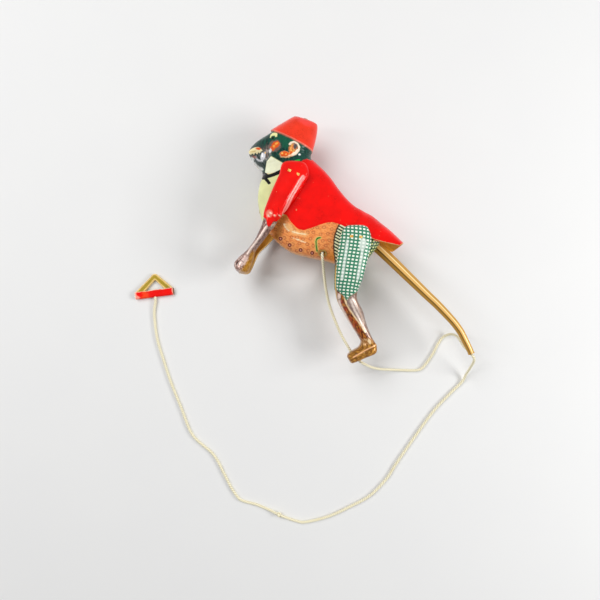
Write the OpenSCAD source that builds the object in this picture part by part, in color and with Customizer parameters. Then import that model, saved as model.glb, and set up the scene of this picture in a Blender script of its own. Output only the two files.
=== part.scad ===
// Climbing monkey: a pressed tinplate toy, two half shells deep, whose arms and legs swing
// on axles with bent-over prongs and whose pull cord runs from a lever inside the body
// through the feet and the tail to a folded handle. The toy lies on its far side.
// Figure coordinates have the hip axle as origin, X forwards to the tail, Z across the toy.

/* [Tinplate] */
// Thickness of the tinplate
sheet = 0.5; // [0.4:0.05:0.6]
// Half of the width of the body, from the seam to the coat
body_depth = 14.5; // [14:0.25:15.5]
// Height of a thigh above its rim
leg_depth = 4.9; // [4.5:0.1:6]
// Height of an upper arm above its rim
arm_depth = 6.5; // [6:0.1:7.5]
// Free space between the body and the rims of the arms and legs
side_gap = 1; // [0.6:0.1:1.4]
// Half of the width across the feet
foot_depth = 8; // [6.5:0.25:9]
// Half of the width across the hands
hand_depth = 11.5; // [10:0.25:12.5]

/* [Axles] */
// Diameter of the hip axle
hip_axle_d = 3; // [2.4:0.1:3.6]
// Diameter of the shoulder axle
shoulder_axle_d = 3; // [2.4:0.1:3.6]
// Radial running clearance of an axle in the shells
axle_play = 0.05; // [0.03:0.01:0.08]
// Diameter of the seat plate under an arm or leg
seat_d = 5.8; // [5.4:0.1:6]
// Thickness of the seat plate
seat_t = 0.6; // [0.5:0.05:0.8]
// Distance between the two prongs of an axle end
prong_span = 4.4; // [4:0.1:4.8]
// Width of a prong
prong_w = 1.6; // [1.3:0.1:1.9]
// Thickness of a prong
prong_t = 0.4; // [0.3:0.05:0.5]
// Length of the bent-over leaf of a prong
prong_leaf = 1.9; // [1.6:0.1:2.2]
// Free space of a prong in its slot, on each side
prong_play = 0.1; // [0.08:0.02:0.2]

/* [Seam] */
// Width of a seam tab
tab_w = 3.4; // [2.5:0.1:4]
// Reach of a seam tab over the near shell
tab_reach = 1.6; // [1.2:0.1:2]
// Thickness of a seam tab
tab_t = 0.35; // [0.3:0.05:0.4]

/* [Tail] */
// Width of the tail where it leaves the body
tail_root_w = 7.6; // [7:0.1:8.2]
// Width of the tail at its tip
tail_tip_w = 4.2; // [4:0.1:4.6]
// Length of the tail inside the body
tail_inside = 6; // [4:0.5:7]
// Opening of the rolled seam along the tail, in degrees
tail_slot = 14; // [8:1:20]

/* [Eyelet] */
// Bore of the belly eyelet
eyelet_bore = 3.8; // [3.4:0.1:4.2]
// Outer diameter of the eyelet's rolled flange
eyelet_flange = 6.2; // [5.8:0.1:6.6]
// Wall of the eyelet
eyelet_wall = 0.35; // [0.3:0.05:0.5]

/* [Lever and spring] */
// Length of the hip lever, from the axle to the cord's eye
lever_len = 11; // [9:0.5:12]
// Thickness of the lever
lever_t = 1.2; // [1:0.1:1.6]
// Width of the lever
lever_w = 3.4; // [3:0.1:3.8]
// Wire of the return spring
spring_wire = 0.6; // [0.5:0.05:0.7]
// Whole turns of the return spring
spring_turns = 5; // [4:1:6]
// Free space between two turns of the return spring
spring_gap = 0.45; // [0.42:0.02:0.6]
// Diameter of the post that the spring rests on
post_d = 1.8; // [1.4:0.1:2.2]

/* [Cord] */
// Diameter of the cord
cord_d = 1.8; // [1.5:0.1:1.9]
// Free space round the cord where it passes through tin
cord_play = 0.25; // [0.15:0.05:0.35]
// Diameter of a knot
knot_d = 3.8; // [3.2:0.2:4.2]
// Length of a knot along the cord
knot_l = 2.8; // [2.4:0.2:3.2]

/* [Handle] */
// Length of the red bar
bar_len = 28.5; // [26:0.5:31]
// Height of the bar, from its fold to its mouth
bar_h = 5.4; // [5.2:0.1:5.8]
// Thickness of the bar
bar_t = 2.8; // [2.7:0.1:3.2]
// Height of the finger triangle above the middle of the bar
triangle_h = 15.4; // [14:0.2:17]
// Offset of the triangle's apex along the bar
apex_x = 2.4; // [0:0.2:3]
// Width of the triangle's strip
strip_w = 4; // [3.6:0.1:4.2]
// Thickness of the triangle's folded strip
strip_t = 1.6; // [1.3:0.1:1.7]

/* [Hidden] */

$fn = 48;
// Free space between a piece and what it is seated on or wound round
SEAT_GAP = 0.3;
// Free space between two faces that the tin presses together
PRESS_GAP = 0.03;
limb_rim = body_depth + side_gap;
half_width = limb_rim + arm_depth;
leg_top = limb_rim + leg_depth;
arm_top = half_width - 1;

// Place of the hip axle in the toy's own frame, whose origin is under the middle of its box
hip_place = [38.4, -1.5, half_width];
// Place of the shoulder axle from the hip axle
shoulder = [-41, 42];
// Direction of the two prongs at the hip and at the shoulder, from the X axis
hip_prong_angle = -4;
shoulder_prong_angle = -24;
// Where the tail leaves the body, and its direction there
tail_root = [17, -4];
tail_angle = -43.3;
// Middle of the belly eyelet on the near shell, and the slant of its axis from Z
eyelet_place = [-22, -9.4, 0.71 * body_depth];
eyelet_slant = [0, atan(0.0589 * body_depth), -102];
// The lever's direction, and the place of the spring's post from the hip axle
lever_angle = -75;
post_place = [6, 5.5];
post_surface = body_depth - sheet;
post_head_d = post_d + 1.2;
// Where the cord enters the feet at the instep and leaves them at the sole
toe_hole = [-2.1, -76.9];
toe_hole_angle = -61;
sole_hole = [3.9, -83.3];
sole_hole_angle = -37;
// The slit in the near hand, from the shoulder axle
hand_slit = [-38.6, -57.6];
// Middle and turn of the handle on the table
handle_place = [-108.5, -36.7, bar_t / 2];
handle_angle = 7.6;
// Where the seam tabs are: a point of the seam and the direction that it faces
TABS = [[[-33.6, 85.6], 71], [[-65.75, 21.5], 187], [[-4.2, -18.05], 261], [[21.8, 9.75], 44]];

// Sections of the near half of the body from the fez to the rump: a front point, a back point,
// the depth as a share of body_depth, then the fullness and how far back the depth lies
FEZ = [[[-40.6, 88.0], [-27.8, 83.6], 0.00, 1.00, 1.0],
       [[-42.4, 87.2], [-25.4, 81.4], 0.62, 1.00, 1.0],
       [[-50.0, 82.6], [-26.0, 74.0], 0.84, 0.98, 1.0],
       [[-58.0, 77.5], [-28.6, 63.4], 1.00, 0.95, 1.0]];
BODY = [[[-57.6, 75.9], [-29.4, 62.4], 0.93, 0.90, 1.0],
        [[-64.0, 72.0], [-29.8, 60.8], 0.93, 0.85, 0.9],
        [[-68.8, 69.0], [-30.0, 60.0], 0.92, 0.85, 0.8],
        [[-72.2, 65.5], [-30.0, 59.2], 0.91, 0.85, 0.75],
        [[-73.4, 62.0], [-30.0, 58.5], 0.90, 0.85, 0.75],
        [[-71.4, 57.0], [-29.8, 57.8], 0.88, 0.85, 0.75],
        [[-68.6, 53.2], [-29.2, 56.8], 0.86, 0.85, 0.8],
        [[-64.4, 49.4], [-27.4, 55.0], 0.84, 0.80, 0.9],
        [[-63.4, 45.0], [-23.5, 51.3], 0.88, 0.75, 1.0],
        [[-65.6, 39.0], [-19.6, 47.4], 0.94, 0.70, 1.0],
        [[-66.8, 30.0], [-15.4, 42.4], 0.98, 0.68, 1.0],
        [[-65.6, 20.5], [-11.0, 36.2], 1.00, 0.66, 1.0],
        [[-61.8, 10.0], [-5.6, 29.6], 1.00, 0.66, 1.0],
        [[-54.6, 0.6], [0.4, 24.0], 1.00, 0.66, 1.0],
        [[-43.6, -7.4], [6.2, 20.6], 1.00, 0.66, 1.0],
        [[-30.0, -11.3], [10.4, 17.8], 1.00, 0.66, 1.0],
        [[-18.0, -13.8], [13.6, 14.8], 1.00, 0.66, 1.0],
        [[-4.6, -18.0], [16.2, 11.0], 0.98, 0.66, 1.0],
        [[6.0, -15.6], [18.0, 6.0], 0.90, 0.70, 1.0],
        [[13.0, -8.4], [18.6, 1.0], 0.62, 0.80, 1.0],
        [[15.6, -4.6], [17.6, -2.2], 0.00, 1.00, 1.0]];
// Sections of the coat's tail: a point of the seam and a point of its lower edge
COAT_TAIL = [[[7, 20.1], [-1.5, 5.5]],
             [[12.6, 17.2], [5.2, 2.2]],
             [[18.6, 12.3], [12.0, -0.6]],
             [[25.0, 7.0], [19.0, -2.6]],
             [[30.0, 2.0], [25.2, -4.0]],
             [[33.8, -2.2], [29.6, -5.0]]];
// Sections of the near leg: a front and a back point, the heights of the front rim, the back
// rim and the outer face above the seam, then the fullness in front and behind
rim = limb_rim;
LEG = [[[-3.4, 8.6], [4.2, 8.6], rim, rim, rim, 0.8, 0.8],
       [[-7.8, 6.2], [8.0, 6.2], rim, rim, leg_top - 0.6, 0.7, 0.7],
       [[-10, 0], [10, 0], rim, rim, leg_top, 0.6, 0.6],
       [[-11.3, -7], [9.5, -7], rim, rim, leg_top + 0.1, 0.6, 0.6],
       [[-12.2, -16], [7.2, -16], rim, rim, leg_top - 0.2, 0.6, 0.6],
       [[-12.7, -26.7], [4.6, -26.7], 12.6, 12.6, 18.6, 0.6, 0.6],
       [[-12.4, -34.6], [2, -34.6], 7, 7, 15.6, 0.7, 0.6],
       [[-11.6, -40.6], [2.2, -40.8], 2, 2, 12.6, 0.8, 0.5],
       [[-8.6, -47.4], [6.0, -48.4], 0, 0, 10.6, 0.9, 0.45],
       [[-2.8, -57.2], [8.6, -57.6], 0, 0, foot_depth + 1.2, 0.9, 0.4],
       [[3.0, -66.0], [12.2, -66.4], 0, 0, foot_depth + 0.2, 0.8, 0.4],
       [[4.8, -69.4], [14.6, -70.6], 0, 0, foot_depth, 0.7, 0.4],
       [[4.4, -71.8], [16.0, -74.4], 0, 0, foot_depth, 0.6, 0.4],
       [[2.8, -73.8], [14.8, -78.2], 0, 0, foot_depth, 0.5, 0.4],
       [[-0.6, -75.8], [8.6, -80.9], 0, 0, foot_depth, 0.5, 0.35],
       [[-3.6, -78], [2.0, -83.8], 0, 0, foot_depth - 0.6, 0.5, 0.35],
       [[-4.6, -79.8], [-1.2, -85], 0, 0, foot_depth - 2.6, 0.6, 0.5],
       [[-4.6, -81], [-2.6, -84.4], 0, 0, 0, 0.8, 0.8]];
// Sections of the near arm, in the same form, about the shoulder axle
ARM = [[[-4, 9.2], [3.2, 9.2], rim, rim, rim, 0.8, 0.8],
       [[-7.8, 6.6], [7.8, 6.4], rim, rim, arm_top - 0.6, 0.7, 0.7],
       [[-9.5, 0], [9.5, 0], rim, rim, arm_top, 0.6, 0.6],
       [[-12.8, -7.4], [6.4, -6], rim, rim, half_width - 0.6, 0.6, 0.6],
       [[-16.4, -16], [1.4, -14.2], rim, rim, half_width - 0.2, 0.6, 0.6],
       [[-19.4, -24.4], [-4.4, -22.6], rim, rim, half_width, 0.6, 0.6],
       [[-20.2, -29], [-8.4, -27.4], rim, rim, half_width - 0.6, 0.6, 0.6],
       [[-22.6, -35], [-13.6, -34.2], 12.6, 13.6, 19.8, 0.7, 0.7],
       [[-27.8, -43.6], [-20.8, -42.6], 8, 10.6, 16.6, 0.8, 0.8],
       [[-33, -49.2], [-26.4, -49], 4.4, 7.4, 13.8, 0.8, 0.8],
       [[-38.6, -53], [-28.8, -55.4], 1, 4, 12.2, 0.8, 0.8],
       [[-42.2, -57.2], [-30.8, -60.4], 0, 2.4, hand_depth, 0.75, 0.75],
       [[-41.6, -61.6], [-32.8, -63.8], 0, 1.6, hand_depth - 1.4, 0.75, 0.75],
       [[-39.2, -64], [-35.4, -64.8], 0.6, 0.8, 0.7, 0.8, 0.8]];
// Middle line of the tail outside the body, down to its tip
TAIL = [[28.6, -15], [37, -23.2], [44, -30], [51.2, -37], [58, -43.4], [64.4, -50],
        [70.2, -56.4], [74.6, -62.4], [77.8, -68.4], [80.6, -74], [82.6, -78.4]];
// Half width of the toy that the heights of the cord's route are given for
ROUTE_WIDTH = 22;
// The cord's route in the toy's own frame, in its six stretches
ROUTE_INSIDE = [[41.2, -12.1, 21.4], [41.2, -12.1, 23.4], [38.4, -11.9, 25.4], [33.4, -11.3, 26.6],
                [26.4, -9.5, 27], [21, -8.1, 27.6], [17.6, -7.5, 28.4], [16.6, -9, 30],
                [16.3, -10.9, 32.3]];
ROUTE_TO_FOOT = [[16.3, -10.9, 32.3], [16.15, -11.9, 33.5], [16.3, -13.7, 33.9], [16.6, -16.5, 32.3],
                 [17.1, -20.5, 29.4], [17.8, -27.3, 26.3], [19, -35.3, 23.8], [21.4, -45.8, 22.2],
                 [25.4, -56.8, 21.6], [29.8, -66.8, 21.6], [34.8, -75.7, 22], [36.3, -78.4, 22]];
ROUTE_IN_FOOT = [[36.3, -78.4, 22], [37.3, -80.2, 22], [39, -82.3, 22], [40.7, -83.6, 22],
                 [42.3, -84.8, 22]];
ROUTE_TO_TAIL = [[42.3, -84.8, 22], [44.3, -86.3, 22], [48.2, -88.4, 19.9], [53, -90.5, 15.4],
                 [58.9, -92.1, 10], [66.4, -93.1, 4.2], [74.4, -93.8, 1.2], [86.4, -94, 0.9],
                 [91.9, -91.9, 0.9], [98.9, -82.5, 0.9], [103.4, -73.9, 0.9], [107.4, -68.9, 1],
                 [112, -66.9, 4], [115, -68.3, 9], [115.5, -71.7, 15.8], [116.3, -74.7, 19.8],
                 [118.3, -77.2, 21.3], [120.2, -79.6, 22]];
ROUTE_TO_KNOT = [[120.2, -79.6, 22], [121.8, -81.6, 22.6], [123, -83.7, 21.9], [123.6, -86.7, 18.4],
                 [123.9, -91.3, 10.8], [123.2, -96.8, 4], [121, -102.7, 1.2], [112.4, -111.3, 0.9],
                 [99.8, -124.7, 0.9], [85.2, -144.7, 0.9], [71.9, -164.1, 0.9], [64.8, -175.1, 0.9],
                 [52.4, -187.7, 0.9], [38.4, -195.5, 0.9], [21.4, -203.3, 0.9], [4.2, -207.5, 0.9],
                 [-2.2, -206.8, 0.9], [-8.2, -204.9, 1], [-12.5, -202.9, 1.9], [-14.3, -202.1, 1.9]];
ROUTE_TO_HANDLE = [[-16.9, -200.9, 1.9], [-18.7, -200.1, 1.9], [-23.2, -198.2, 1], [-33.1, -194.2, 0.9], [-40.6, -192.3, 0.9],
                   [-45.8, -189.7, 0.9], [-51.6, -181.4, 0.9], [-56.7, -171.5, 0.9], [-64.8, -157, 0.9],
                   [-80.2, -142.5, 0.9], [-88.6, -122.6, 0.9], [-96.6, -102.6, 0.9], [-102, -86.3, 0.9],
                   [-106.6, -71.1, 0.9], [-108.6, -57.3, 0.9], [-108.9, -49.3, 1], [-107.9, -42.6, 1.4],
                   [-108.17, -38.93, 1.4]];

function mix(a, b, t) = a + (b - a) * t;
function unit(v) = v / norm(v);
// A route at the toy's real width, kept on the table where it lies on it
function laid(route) = [for (p = route) [p.x, p.y, max(p.z * half_width / ROUTE_WIDTH, cord_d / 2)]];
// A curve that passes through four rows of numbers, from the second to the third
function pass(a, b, c, d, t) =
    0.5 * (2 * b + (c - a) * t + (2 * a - 5 * b + 4 * c - d) * t * t
           + (3 * b - a - 3 * c + d) * t * t * t);
// All rows of a curve through the given rows, with some steps between each two
function through(rows, steps) = let (n = len(rows) - 1)
    [for (k = [0 : n * steps]) let (i = min(floor(k / steps), n - 1), t = k / steps - i)
        pass(rows[max(i - 1, 0)], rows[i], rows[i + 1], rows[min(i + 2, n)], t)];
// The rims of the two halves meet at the seam and never pass it
function at_seam(r) = [for (k = [0 : len(r) - 1]) k == 4 || k == 5 ? max(r[k], 0) : r[k]];

// Each section becomes one row: front x y, back x y, front rim, back rim, outer height,
// front fullness, back fullness, skew
function body_row(s) = [s[0].x, s[0].y, s[1].x, s[1].y, 0, 0, s[2] * body_depth, s[3], s[3], s[4]];
function limb_row(s) = [s[0].x, s[0].y, s[1].x, s[1].y, s[2], s[3], s[4], s[5], s[6], 1];
body_rows = concat([for (s = FEZ) body_row(s)], through([for (s = BODY) body_row(s)], 2));
leg_rows = [for (r = through([for (s = LEG) limb_row(s)], 2)) at_seam(r)];
arm_rows = [for (r = through([for (s = ARM) limb_row(s)], 2)) at_seam(r)];

// The points across one row, from its front rim over the outer face to its back rim
function section(r, m) = [for (j = [0 : m]) let (a = 180 * j / m, u = pow((1 - cos(a)) / 2, r[9]))
    [mix(r[0], r[2], u), mix(r[1], r[3], u),
     mix(r[4], r[5], u) + (r[6] - (r[4] + r[5]) / 2) * pow(sin(a), 2 * a < 180 ? r[7] : r[8])]];
function coat_section(p, m) = [for (j = [0 : m]) let (a = 90 * j / m, u = 1 - cos(a))
    [mix(p[0], p[2], u), mix(p[1], p[3], u), body_depth * pow(sin(a), 0.9)]];

// The outward direction at a point of a grid, kept level along the rims that flat names
function outward(g, i, j, flat) =
    let (n = len(g) - 1, m = len(g[0]) - 1,
         down = g[min(i + 1, n)][j] - g[max(i - 1, 0)][j],
         along = g[i][min(j + 1, m)] - g[i][max(j - 1, 0)],
         c = cross(down, along),
         end_rim = (i == 0 && flat[0]) || (i == n && flat[1]),
         side_rim = (j == 0 && flat[2]) || (j == m && flat[3]),
         corner = (i == 0 ? -1 : 1) * unit(down) + (j == 0 ? -1 : 1) * unit(along))
    unit(end_rim && side_rim ? [corner.x, corner.y, 0] : end_rim || side_rim ? [c.x, c.y, 0] : c);
function inner_grid(g, flat) = [for (i = [0 : len(g) - 1]) [for (j = [0 : len(g[0]) - 1])
    g[i][j] - sheet * outward(g, i, j, flat)]];

// A sheet of tin between a grid of points and the same grid set inwards
module pressed(g, flat) {
    n = len(g) - 1;
    m = len(g[0]) - 1;
    inner = inner_grid(g, flat);
    points = concat([for (row = g) each row], [for (row = inner) each row]);
    half = len(points) / 2;
    function o(i, j) = i * (m + 1) + j;
    function s(i, j) = half + o(i, j);
    function quad(a, b, c, d) = [[a, c, b], [a, d, c]];
    faces = concat(
        [for (i = [0 : n - 1], j = [0 : m - 1]) each quad(o(i, j), o(i, j + 1), o(i + 1, j + 1), o(i + 1, j))],
        [for (i = [0 : n - 1], j = [0 : m - 1]) each quad(s(i, j), s(i + 1, j), s(i + 1, j + 1), s(i, j + 1))],
        [for (i = [0 : n - 1]) each quad(o(i, 0), o(i + 1, 0), s(i + 1, 0), s(i, 0))],
        [for (i = [0 : n - 1]) each quad(o(i + 1, m), o(i, m), s(i, m), s(i + 1, m))],
        [for (j = [0 : m - 1]) each quad(o(0, j + 1), o(0, j), s(0, j), s(0, j + 1))],
        [for (j = [0 : m - 1]) each quad(o(n, j), o(n, j + 1), s(n, j + 1), s(n, j))]);
    polyhedron(points, faces);
}

// A round tube through points, closed at its ends
module cord(points, d, sides = 8) {
    n = len(points) - 1;
    function way(i) = unit(points[min(i + 1, n)] - points[max(i - 1, 0)]);
    function side(i) = unit(cross(way(i), [0.3, 0.2, 1]));
    rings = [for (i = [0 : n], k = [0 : sides - 1]) let (a = 360 * k / sides)
        points[i] + d / 2 * (cos(a) * side(i) + sin(a) * cross(side(i), way(i)))];
    faces = concat(
        [[for (k = [0 : sides - 1]) k]],
        [[for (k = [sides - 1 : -1 : 0]) n * sides + k]],
        [for (i = [0 : n - 1], k = [0 : sides - 1]) let (a = i * sides + k, b = i * sides + (k + 1) % sides)
            each [[a, a + sides, b + sides], [a, b + sides, b]]]);
    polyhedron(rings, faces);
}

module in_figure() { translate(hip_place) children(); }
module far_side() { mirror([0, 0, 1]) children(); }
// A drill along a direction in the plane of the figure, half before the point and half past it
module drill(at, angle, d, l) {
    translate([at.x, at.y, 0]) rotate([0, 90, angle]) cylinder(d = d, h = l, center = true);
}

// One half of the pressed body: head, fez, coat, belly and rump, with the coat's tail as an arch
module body_half() {
    difference() {
        union() {
            pressed([for (r = body_rows) section(r, 12)], [true, true, true, true]);
            pressed([for (s = COAT_TAIL) coat_section([s[0].x, s[0].y, s[1].x, s[1].y], 6)],
                    [false, false, true, false]);
        }
        cylinder(d = hip_axle_d + 2 * axle_play, h = 2 * half_width, center = true);
        translate(shoulder) cylinder(d = shoulder_axle_d + 2 * axle_play, h = 2 * half_width, center = true);
        drill(tail_root, tail_angle, tail_root_w + SEAT_GAP, 2 * tail_inside);
    }
}
module near_body_shell() {
    color("red") in_figure() difference() {
        body_half();
        at_eyelet() cylinder(d = eyelet_bore + 2 * eyelet_wall + 2 * PRESS_GAP, h = 8, center = true);
        translate([post_place.x, post_place.y, 0]) {
            cylinder(d = post_d + 2 * PRESS_GAP, h = half_width);
            translate([0, 0, post_surface - PRESS_GAP]) cylinder(d = post_head_d + 2 * PRESS_GAP, h = half_width);
        }
    }
}
module far_body_shell() {
    color("crimson") in_figure() {
        far_side() body_half();
        for (t = TABS) translate(t[0]) rotate(t[1]) seam_tab();
    }
}
// A tab of the far shell, folded over the seam onto the near shell
module seam_tab() {
    translate([PRESS_GAP, -tab_w / 2, -tab_reach]) cube([tab_t, tab_w, 2 * tab_reach]);
    translate([-sheet / 2, -tab_w / 2, -tab_reach]) cube([sheet, tab_w, tab_reach - PRESS_GAP]);
}

// The tail is rolled from one strip, with its long seam open towards the upper left
module tail() {
    along = [cos(tail_angle), sin(tail_angle)];
    line = concat([tail_root - tail_inside * along, tail_root], TAIL);
    n = len(line) - 1;
    sides = 14;
    seam_at = 154;
    function way(i) = unit(line[min(i + 1, n)] - line[max(i - 1, 0)]);
    function across(i) = [way(i).y, -way(i).x, 0];
    function ring(i, r) = [for (k = [0 : sides])
        let (a = seam_at + tail_slot / 2 + (360 - tail_slot) * k / sides)
        [line[i].x, line[i].y, 0] + r * (cos(a - 90) * across(i) + sin(a - 90) * [0, 0, 1])];
    function radius(i) = mix(tail_root_w, tail_tip_w, max(i - 1, 0) / (n - 1)) / 2;
    function strip(i) = concat(ring(i, radius(i)), [for (k = [sides : -1 : 0]) ring(i, radius(i) - sheet)[k]]);
    c = 2 * (sides + 1);
    faces = concat(
        [for (i = [0 : n - 1], k = [0 : c - 1]) let (a = i * c + k, b = i * c + (k + 1) % c)
            each [[a, b, b + c], [a, b + c, a + c]]],
        [for (k = [0 : sides - 1]) each [[k, c - 1 - k, k + 1], [k + 1, c - 1 - k, c - 2 - k]]],
        [for (k = [0 : sides - 1]) let (e = n * c)
            each [[e + k, e + k + 1, e + c - 1 - k], [e + k + 1, e + c - 2 - k, e + c - 1 - k]]]);
    color("goldenrod") difference() {
        in_figure() polyhedron([for (i = [0 : n]) each strip(i)], faces);
        tail_eye();
    }
}
// The cord's way into the tip of the tail, on a line with the end of its stretch
module tail_eye() {
    route = laid(ROUTE_TO_TAIL);
    last = len(route) - 1;
    into = unit(route[last] - route[last - 2]);
    inside = SEAT_GAP + PRESS_GAP;
    translate(route[last]) rotate([0, acos(into.z), atan2(into.y, into.x)])
        translate([0, 0, -2 * tail_tip_w]) cylinder(d = cord_d + 2 * cord_play, h = 2 * tail_tip_w + inside);
}

module at_eyelet() { translate(eyelet_place) rotate(eyelet_slant) children(); }
// A rolled tin eyelet, clenched behind the near shell
module belly_eyelet() {
    bore_r = eyelet_bore / 2;
    edge_r = (eyelet_flange - eyelet_wall) / 2;
    top = SEAT_GAP / 4 + eyelet_wall;
    low = -1.2 - eyelet_wall;
    color("darkkhaki") in_figure() at_eyelet() rotate_extrude() {
        translate([bore_r, low]) square([eyelet_wall, top - low]);
        translate([bore_r, low]) square([2 * eyelet_wall, eyelet_wall]);
        translate([bore_r, top - eyelet_wall]) square([edge_r - bore_r, eyelet_wall]);
        translate([edge_r, top - eyelet_wall / 2]) circle(d = eyelet_wall);
    }
}

// A post riveted in the near shell, under the thigh, that holds one end of the return spring
module spring_post() {
    head_t = 0.4;
    foot_z = spring_z(spring_end_angle()) - spring_wire;
    color("silver") in_figure() translate([post_place.x, post_place.y, 0]) {
        translate([0, 0, foot_z]) cylinder(d = post_d, h = post_surface - foot_z + head_t / 2);
        translate([0, 0, post_surface]) cylinder(d = post_head_d, h = head_t);
    }
}

// The return spring: an arm beside the lever, turns round the axle and an arm beside the post
function spring_r() = hip_axle_d / 2 + SEAT_GAP + spring_wire / 2;
function post_clear() = post_d / 2 + spring_wire / 2 + SEAT_GAP / 2;
function spring_start_angle() = lever_angle + 90;
function arm_angle() = atan2(post_place.y, post_place.x) + asin((spring_r() - post_clear()) / norm(post_place));
function spring_end_angle() = arm_angle() - 90 + 360 * spring_turns;
function spring_z(a) = lever_t / 2 + spring_wire + (a - spring_start_angle()) / 360 * (spring_wire + spring_gap);
module hip_spring() {
    a0 = spring_start_angle();
    a1 = spring_end_angle();
    steps = round((a1 - a0) / 45);
    beside = spring_r();
    down = [cos(lever_angle), sin(lever_angle)];
    left = [-down.y, down.x];
    reach = norm(post_place) + post_d;
    arm = [for (r = [6.4, 4.2, 1.8])
        [each (down * r + left * beside), mix(0.1, spring_z(a0), (6.4 - r) / 6.4)]];
    coil = [for (k = [0 : steps]) let (a = mix(a0, a1, k / steps))
        [spring_r() * cos(a), spring_r() * sin(a), spring_z(a)]];
    end = [for (r = [0.6, 1]) coil[steps] + [reach * r * cos(arm_angle()), reach * r * sin(arm_angle()), 0]];
    echo(least_gap_between_turns = min([for (i = [0 : steps - 8], j = [i + 6 : min(i + 10, steps)])
        norm(coil[i] - coil[j])]) - spring_wire);
    color("gray") in_figure() cord(concat(arm, coil, end), spring_wire, 6);
}

// An axle: a rod through both shells, a collar and a seat plate on each side, and at each end two
// prongs that pass through the arm or leg and are bent over on it
module axle(d, top, angle) {
    seat_z = top - sheet - SEAT_GAP;
    cylinder(d = d, h = 2 * seat_z, center = true);
    for (side = [0, 1]) mirror([0, 0, side]) {
        translate([0, 0, body_depth + SEAT_GAP]) cylinder(d = d + 1.6, h = seat_z - body_depth - SEAT_GAP);
        translate([0, 0, seat_z - seat_t]) cylinder(d = seat_d, h = seat_t);
        rotate(angle) for (way = [-1, 1]) {
            translate([way * prong_span / 2 - prong_t / 2, -prong_w / 2, seat_z - seat_t / 2])
                cube([prong_t, prong_w, top + PRESS_GAP + prong_t - seat_z + seat_t / 2]);
            translate([way * (prong_span / 2 + prong_leaf / 2) - prong_leaf / 2, -prong_w / 2, top + PRESS_GAP])
                cube([prong_leaf, prong_w, prong_t]);
        }
    }
}
module prong_slots(top, angle) {
    w = prong_w + 2 * prong_play;
    t = prong_t + 2 * prong_play;
    rotate(angle) for (way = [-1, 1])
        translate([way * prong_span / 2 - t / 2, -w / 2, limb_rim]) cube([t, w, top]);
}
module hip_axle() { color("gold") in_figure() axle(hip_axle_d, leg_top, hip_prong_angle); }
module shoulder_axle() {
    color("gold") in_figure() translate(shoulder) axle(shoulder_axle_d, arm_top, shoulder_prong_angle);
}

// The lever sits fast on the hip axle at the seam, and the cord is tied in its eye
module hip_lever() {
    eye = lever_len * [cos(lever_angle), sin(lever_angle)];
    hub_r = hip_axle_d / 2 + 0.7;
    color("dimgray") in_figure() difference() {
        translate([0, 0, -lever_t / 2]) linear_extrude(lever_t) {
            circle(r = hub_r);
            rotate(lever_angle) translate([0, -lever_w / 2]) square([lever_len, lever_w]);
            translate(eye) circle(d = lever_w);
        }
        cylinder(d = hip_axle_d + 2 * PRESS_GAP, h = 2 * lever_t, center = true);
        translate(eye) cylinder(d = cord_d + 2 * cord_play, h = 2 * lever_t, center = true);
    }
}

module leg_half() {
    difference() {
        pressed([for (r = leg_rows) section(r, 10)], [true, true, true, true]);
        prong_slots(leg_top, hip_prong_angle);
        drill(toe_hole, toe_hole_angle, cord_d + 2 * cord_play, 4);
        drill(sole_hole, sole_hole_angle, cord_d + 2 * cord_play, 4);
    }
}
module near_leg() { color("seagreen") in_figure() leg_half(); }
module far_leg() { color("mediumseagreen") in_figure() far_side() leg_half(); }

module arm_half() {
    difference() {
        pressed([for (r = arm_rows) section(r, 10)], [true, true, true, true]);
        prong_slots(arm_top, shoulder_prong_angle);
        translate([hand_slit.x, hand_slit.y, hand_depth]) rotate(70)
            cube([2.2, 0.6, hand_depth], center = true);
    }
}
module near_arm() { color("firebrick") in_figure() translate(shoulder) arm_half(); }
module far_arm() {
    color("indianred") in_figure() far_side() translate(shoulder) arm_half();
}

module knot(d) {
    rotate_extrude() polygon([[0, 0], [0.25, 0], [0.42, 0.15], [0.5, 0.5], [0.42, 0.85], [0.25, 1], [0, 1]]
                             * [[d, 0], [0, knot_l]]);
}
module lever_knot() {
    eye = lever_len * [cos(lever_angle), sin(lever_angle)];
    color("linen") in_figure() translate([eye.x, eye.y, -lever_t / 2 - PRESS_GAP - knot_l]) knot(knot_d - 0.8);
}
module cord_knot() {
    a = laid(ROUTE_TO_KNOT)[len(ROUTE_TO_KNOT) - 1];
    b = laid(ROUTE_TO_HANDLE)[0];
    color("linen") translate((a + b) / 2) rotate([0, 90, atan2(b.y - a.y, b.x - a.x)])
        translate([0, 0, -knot_l / 2]) knot(knot_d);
}
module cord_inside() { color("wheat") cord(laid(ROUTE_INSIDE), cord_d); }
module cord_belly_to_foot() { color("wheat") cord(laid(ROUTE_TO_FOOT), cord_d); }
module cord_in_foot() { color("wheat") cord(laid(ROUTE_IN_FOOT), cord_d); }
module cord_foot_to_tail() { color("wheat") cord(laid(ROUTE_TO_TAIL), cord_d); }
module cord_tail_to_knot() { color("wheat") cord(laid(ROUTE_TO_KNOT), cord_d); }
module cord_knot_to_handle() { color("wheat") cord(laid(ROUTE_TO_HANDLE), cord_d); }

module at_handle() { translate(handle_place) rotate(handle_angle) children(); }
// The stop at the cord's end, clamped across the fold of the bar
function stop_d() = bar_t - 2 * sheet - 2 * PRESS_GAP;
module cord_end_knot() {
    color("linen") at_handle() translate([0, stop_d() / 2 + PRESS_GAP - bar_h / 2 + sheet, 0])
        rotate([0, 90, 0]) cylinder(d = stop_d(), h = knot_d, center = true);
}
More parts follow.
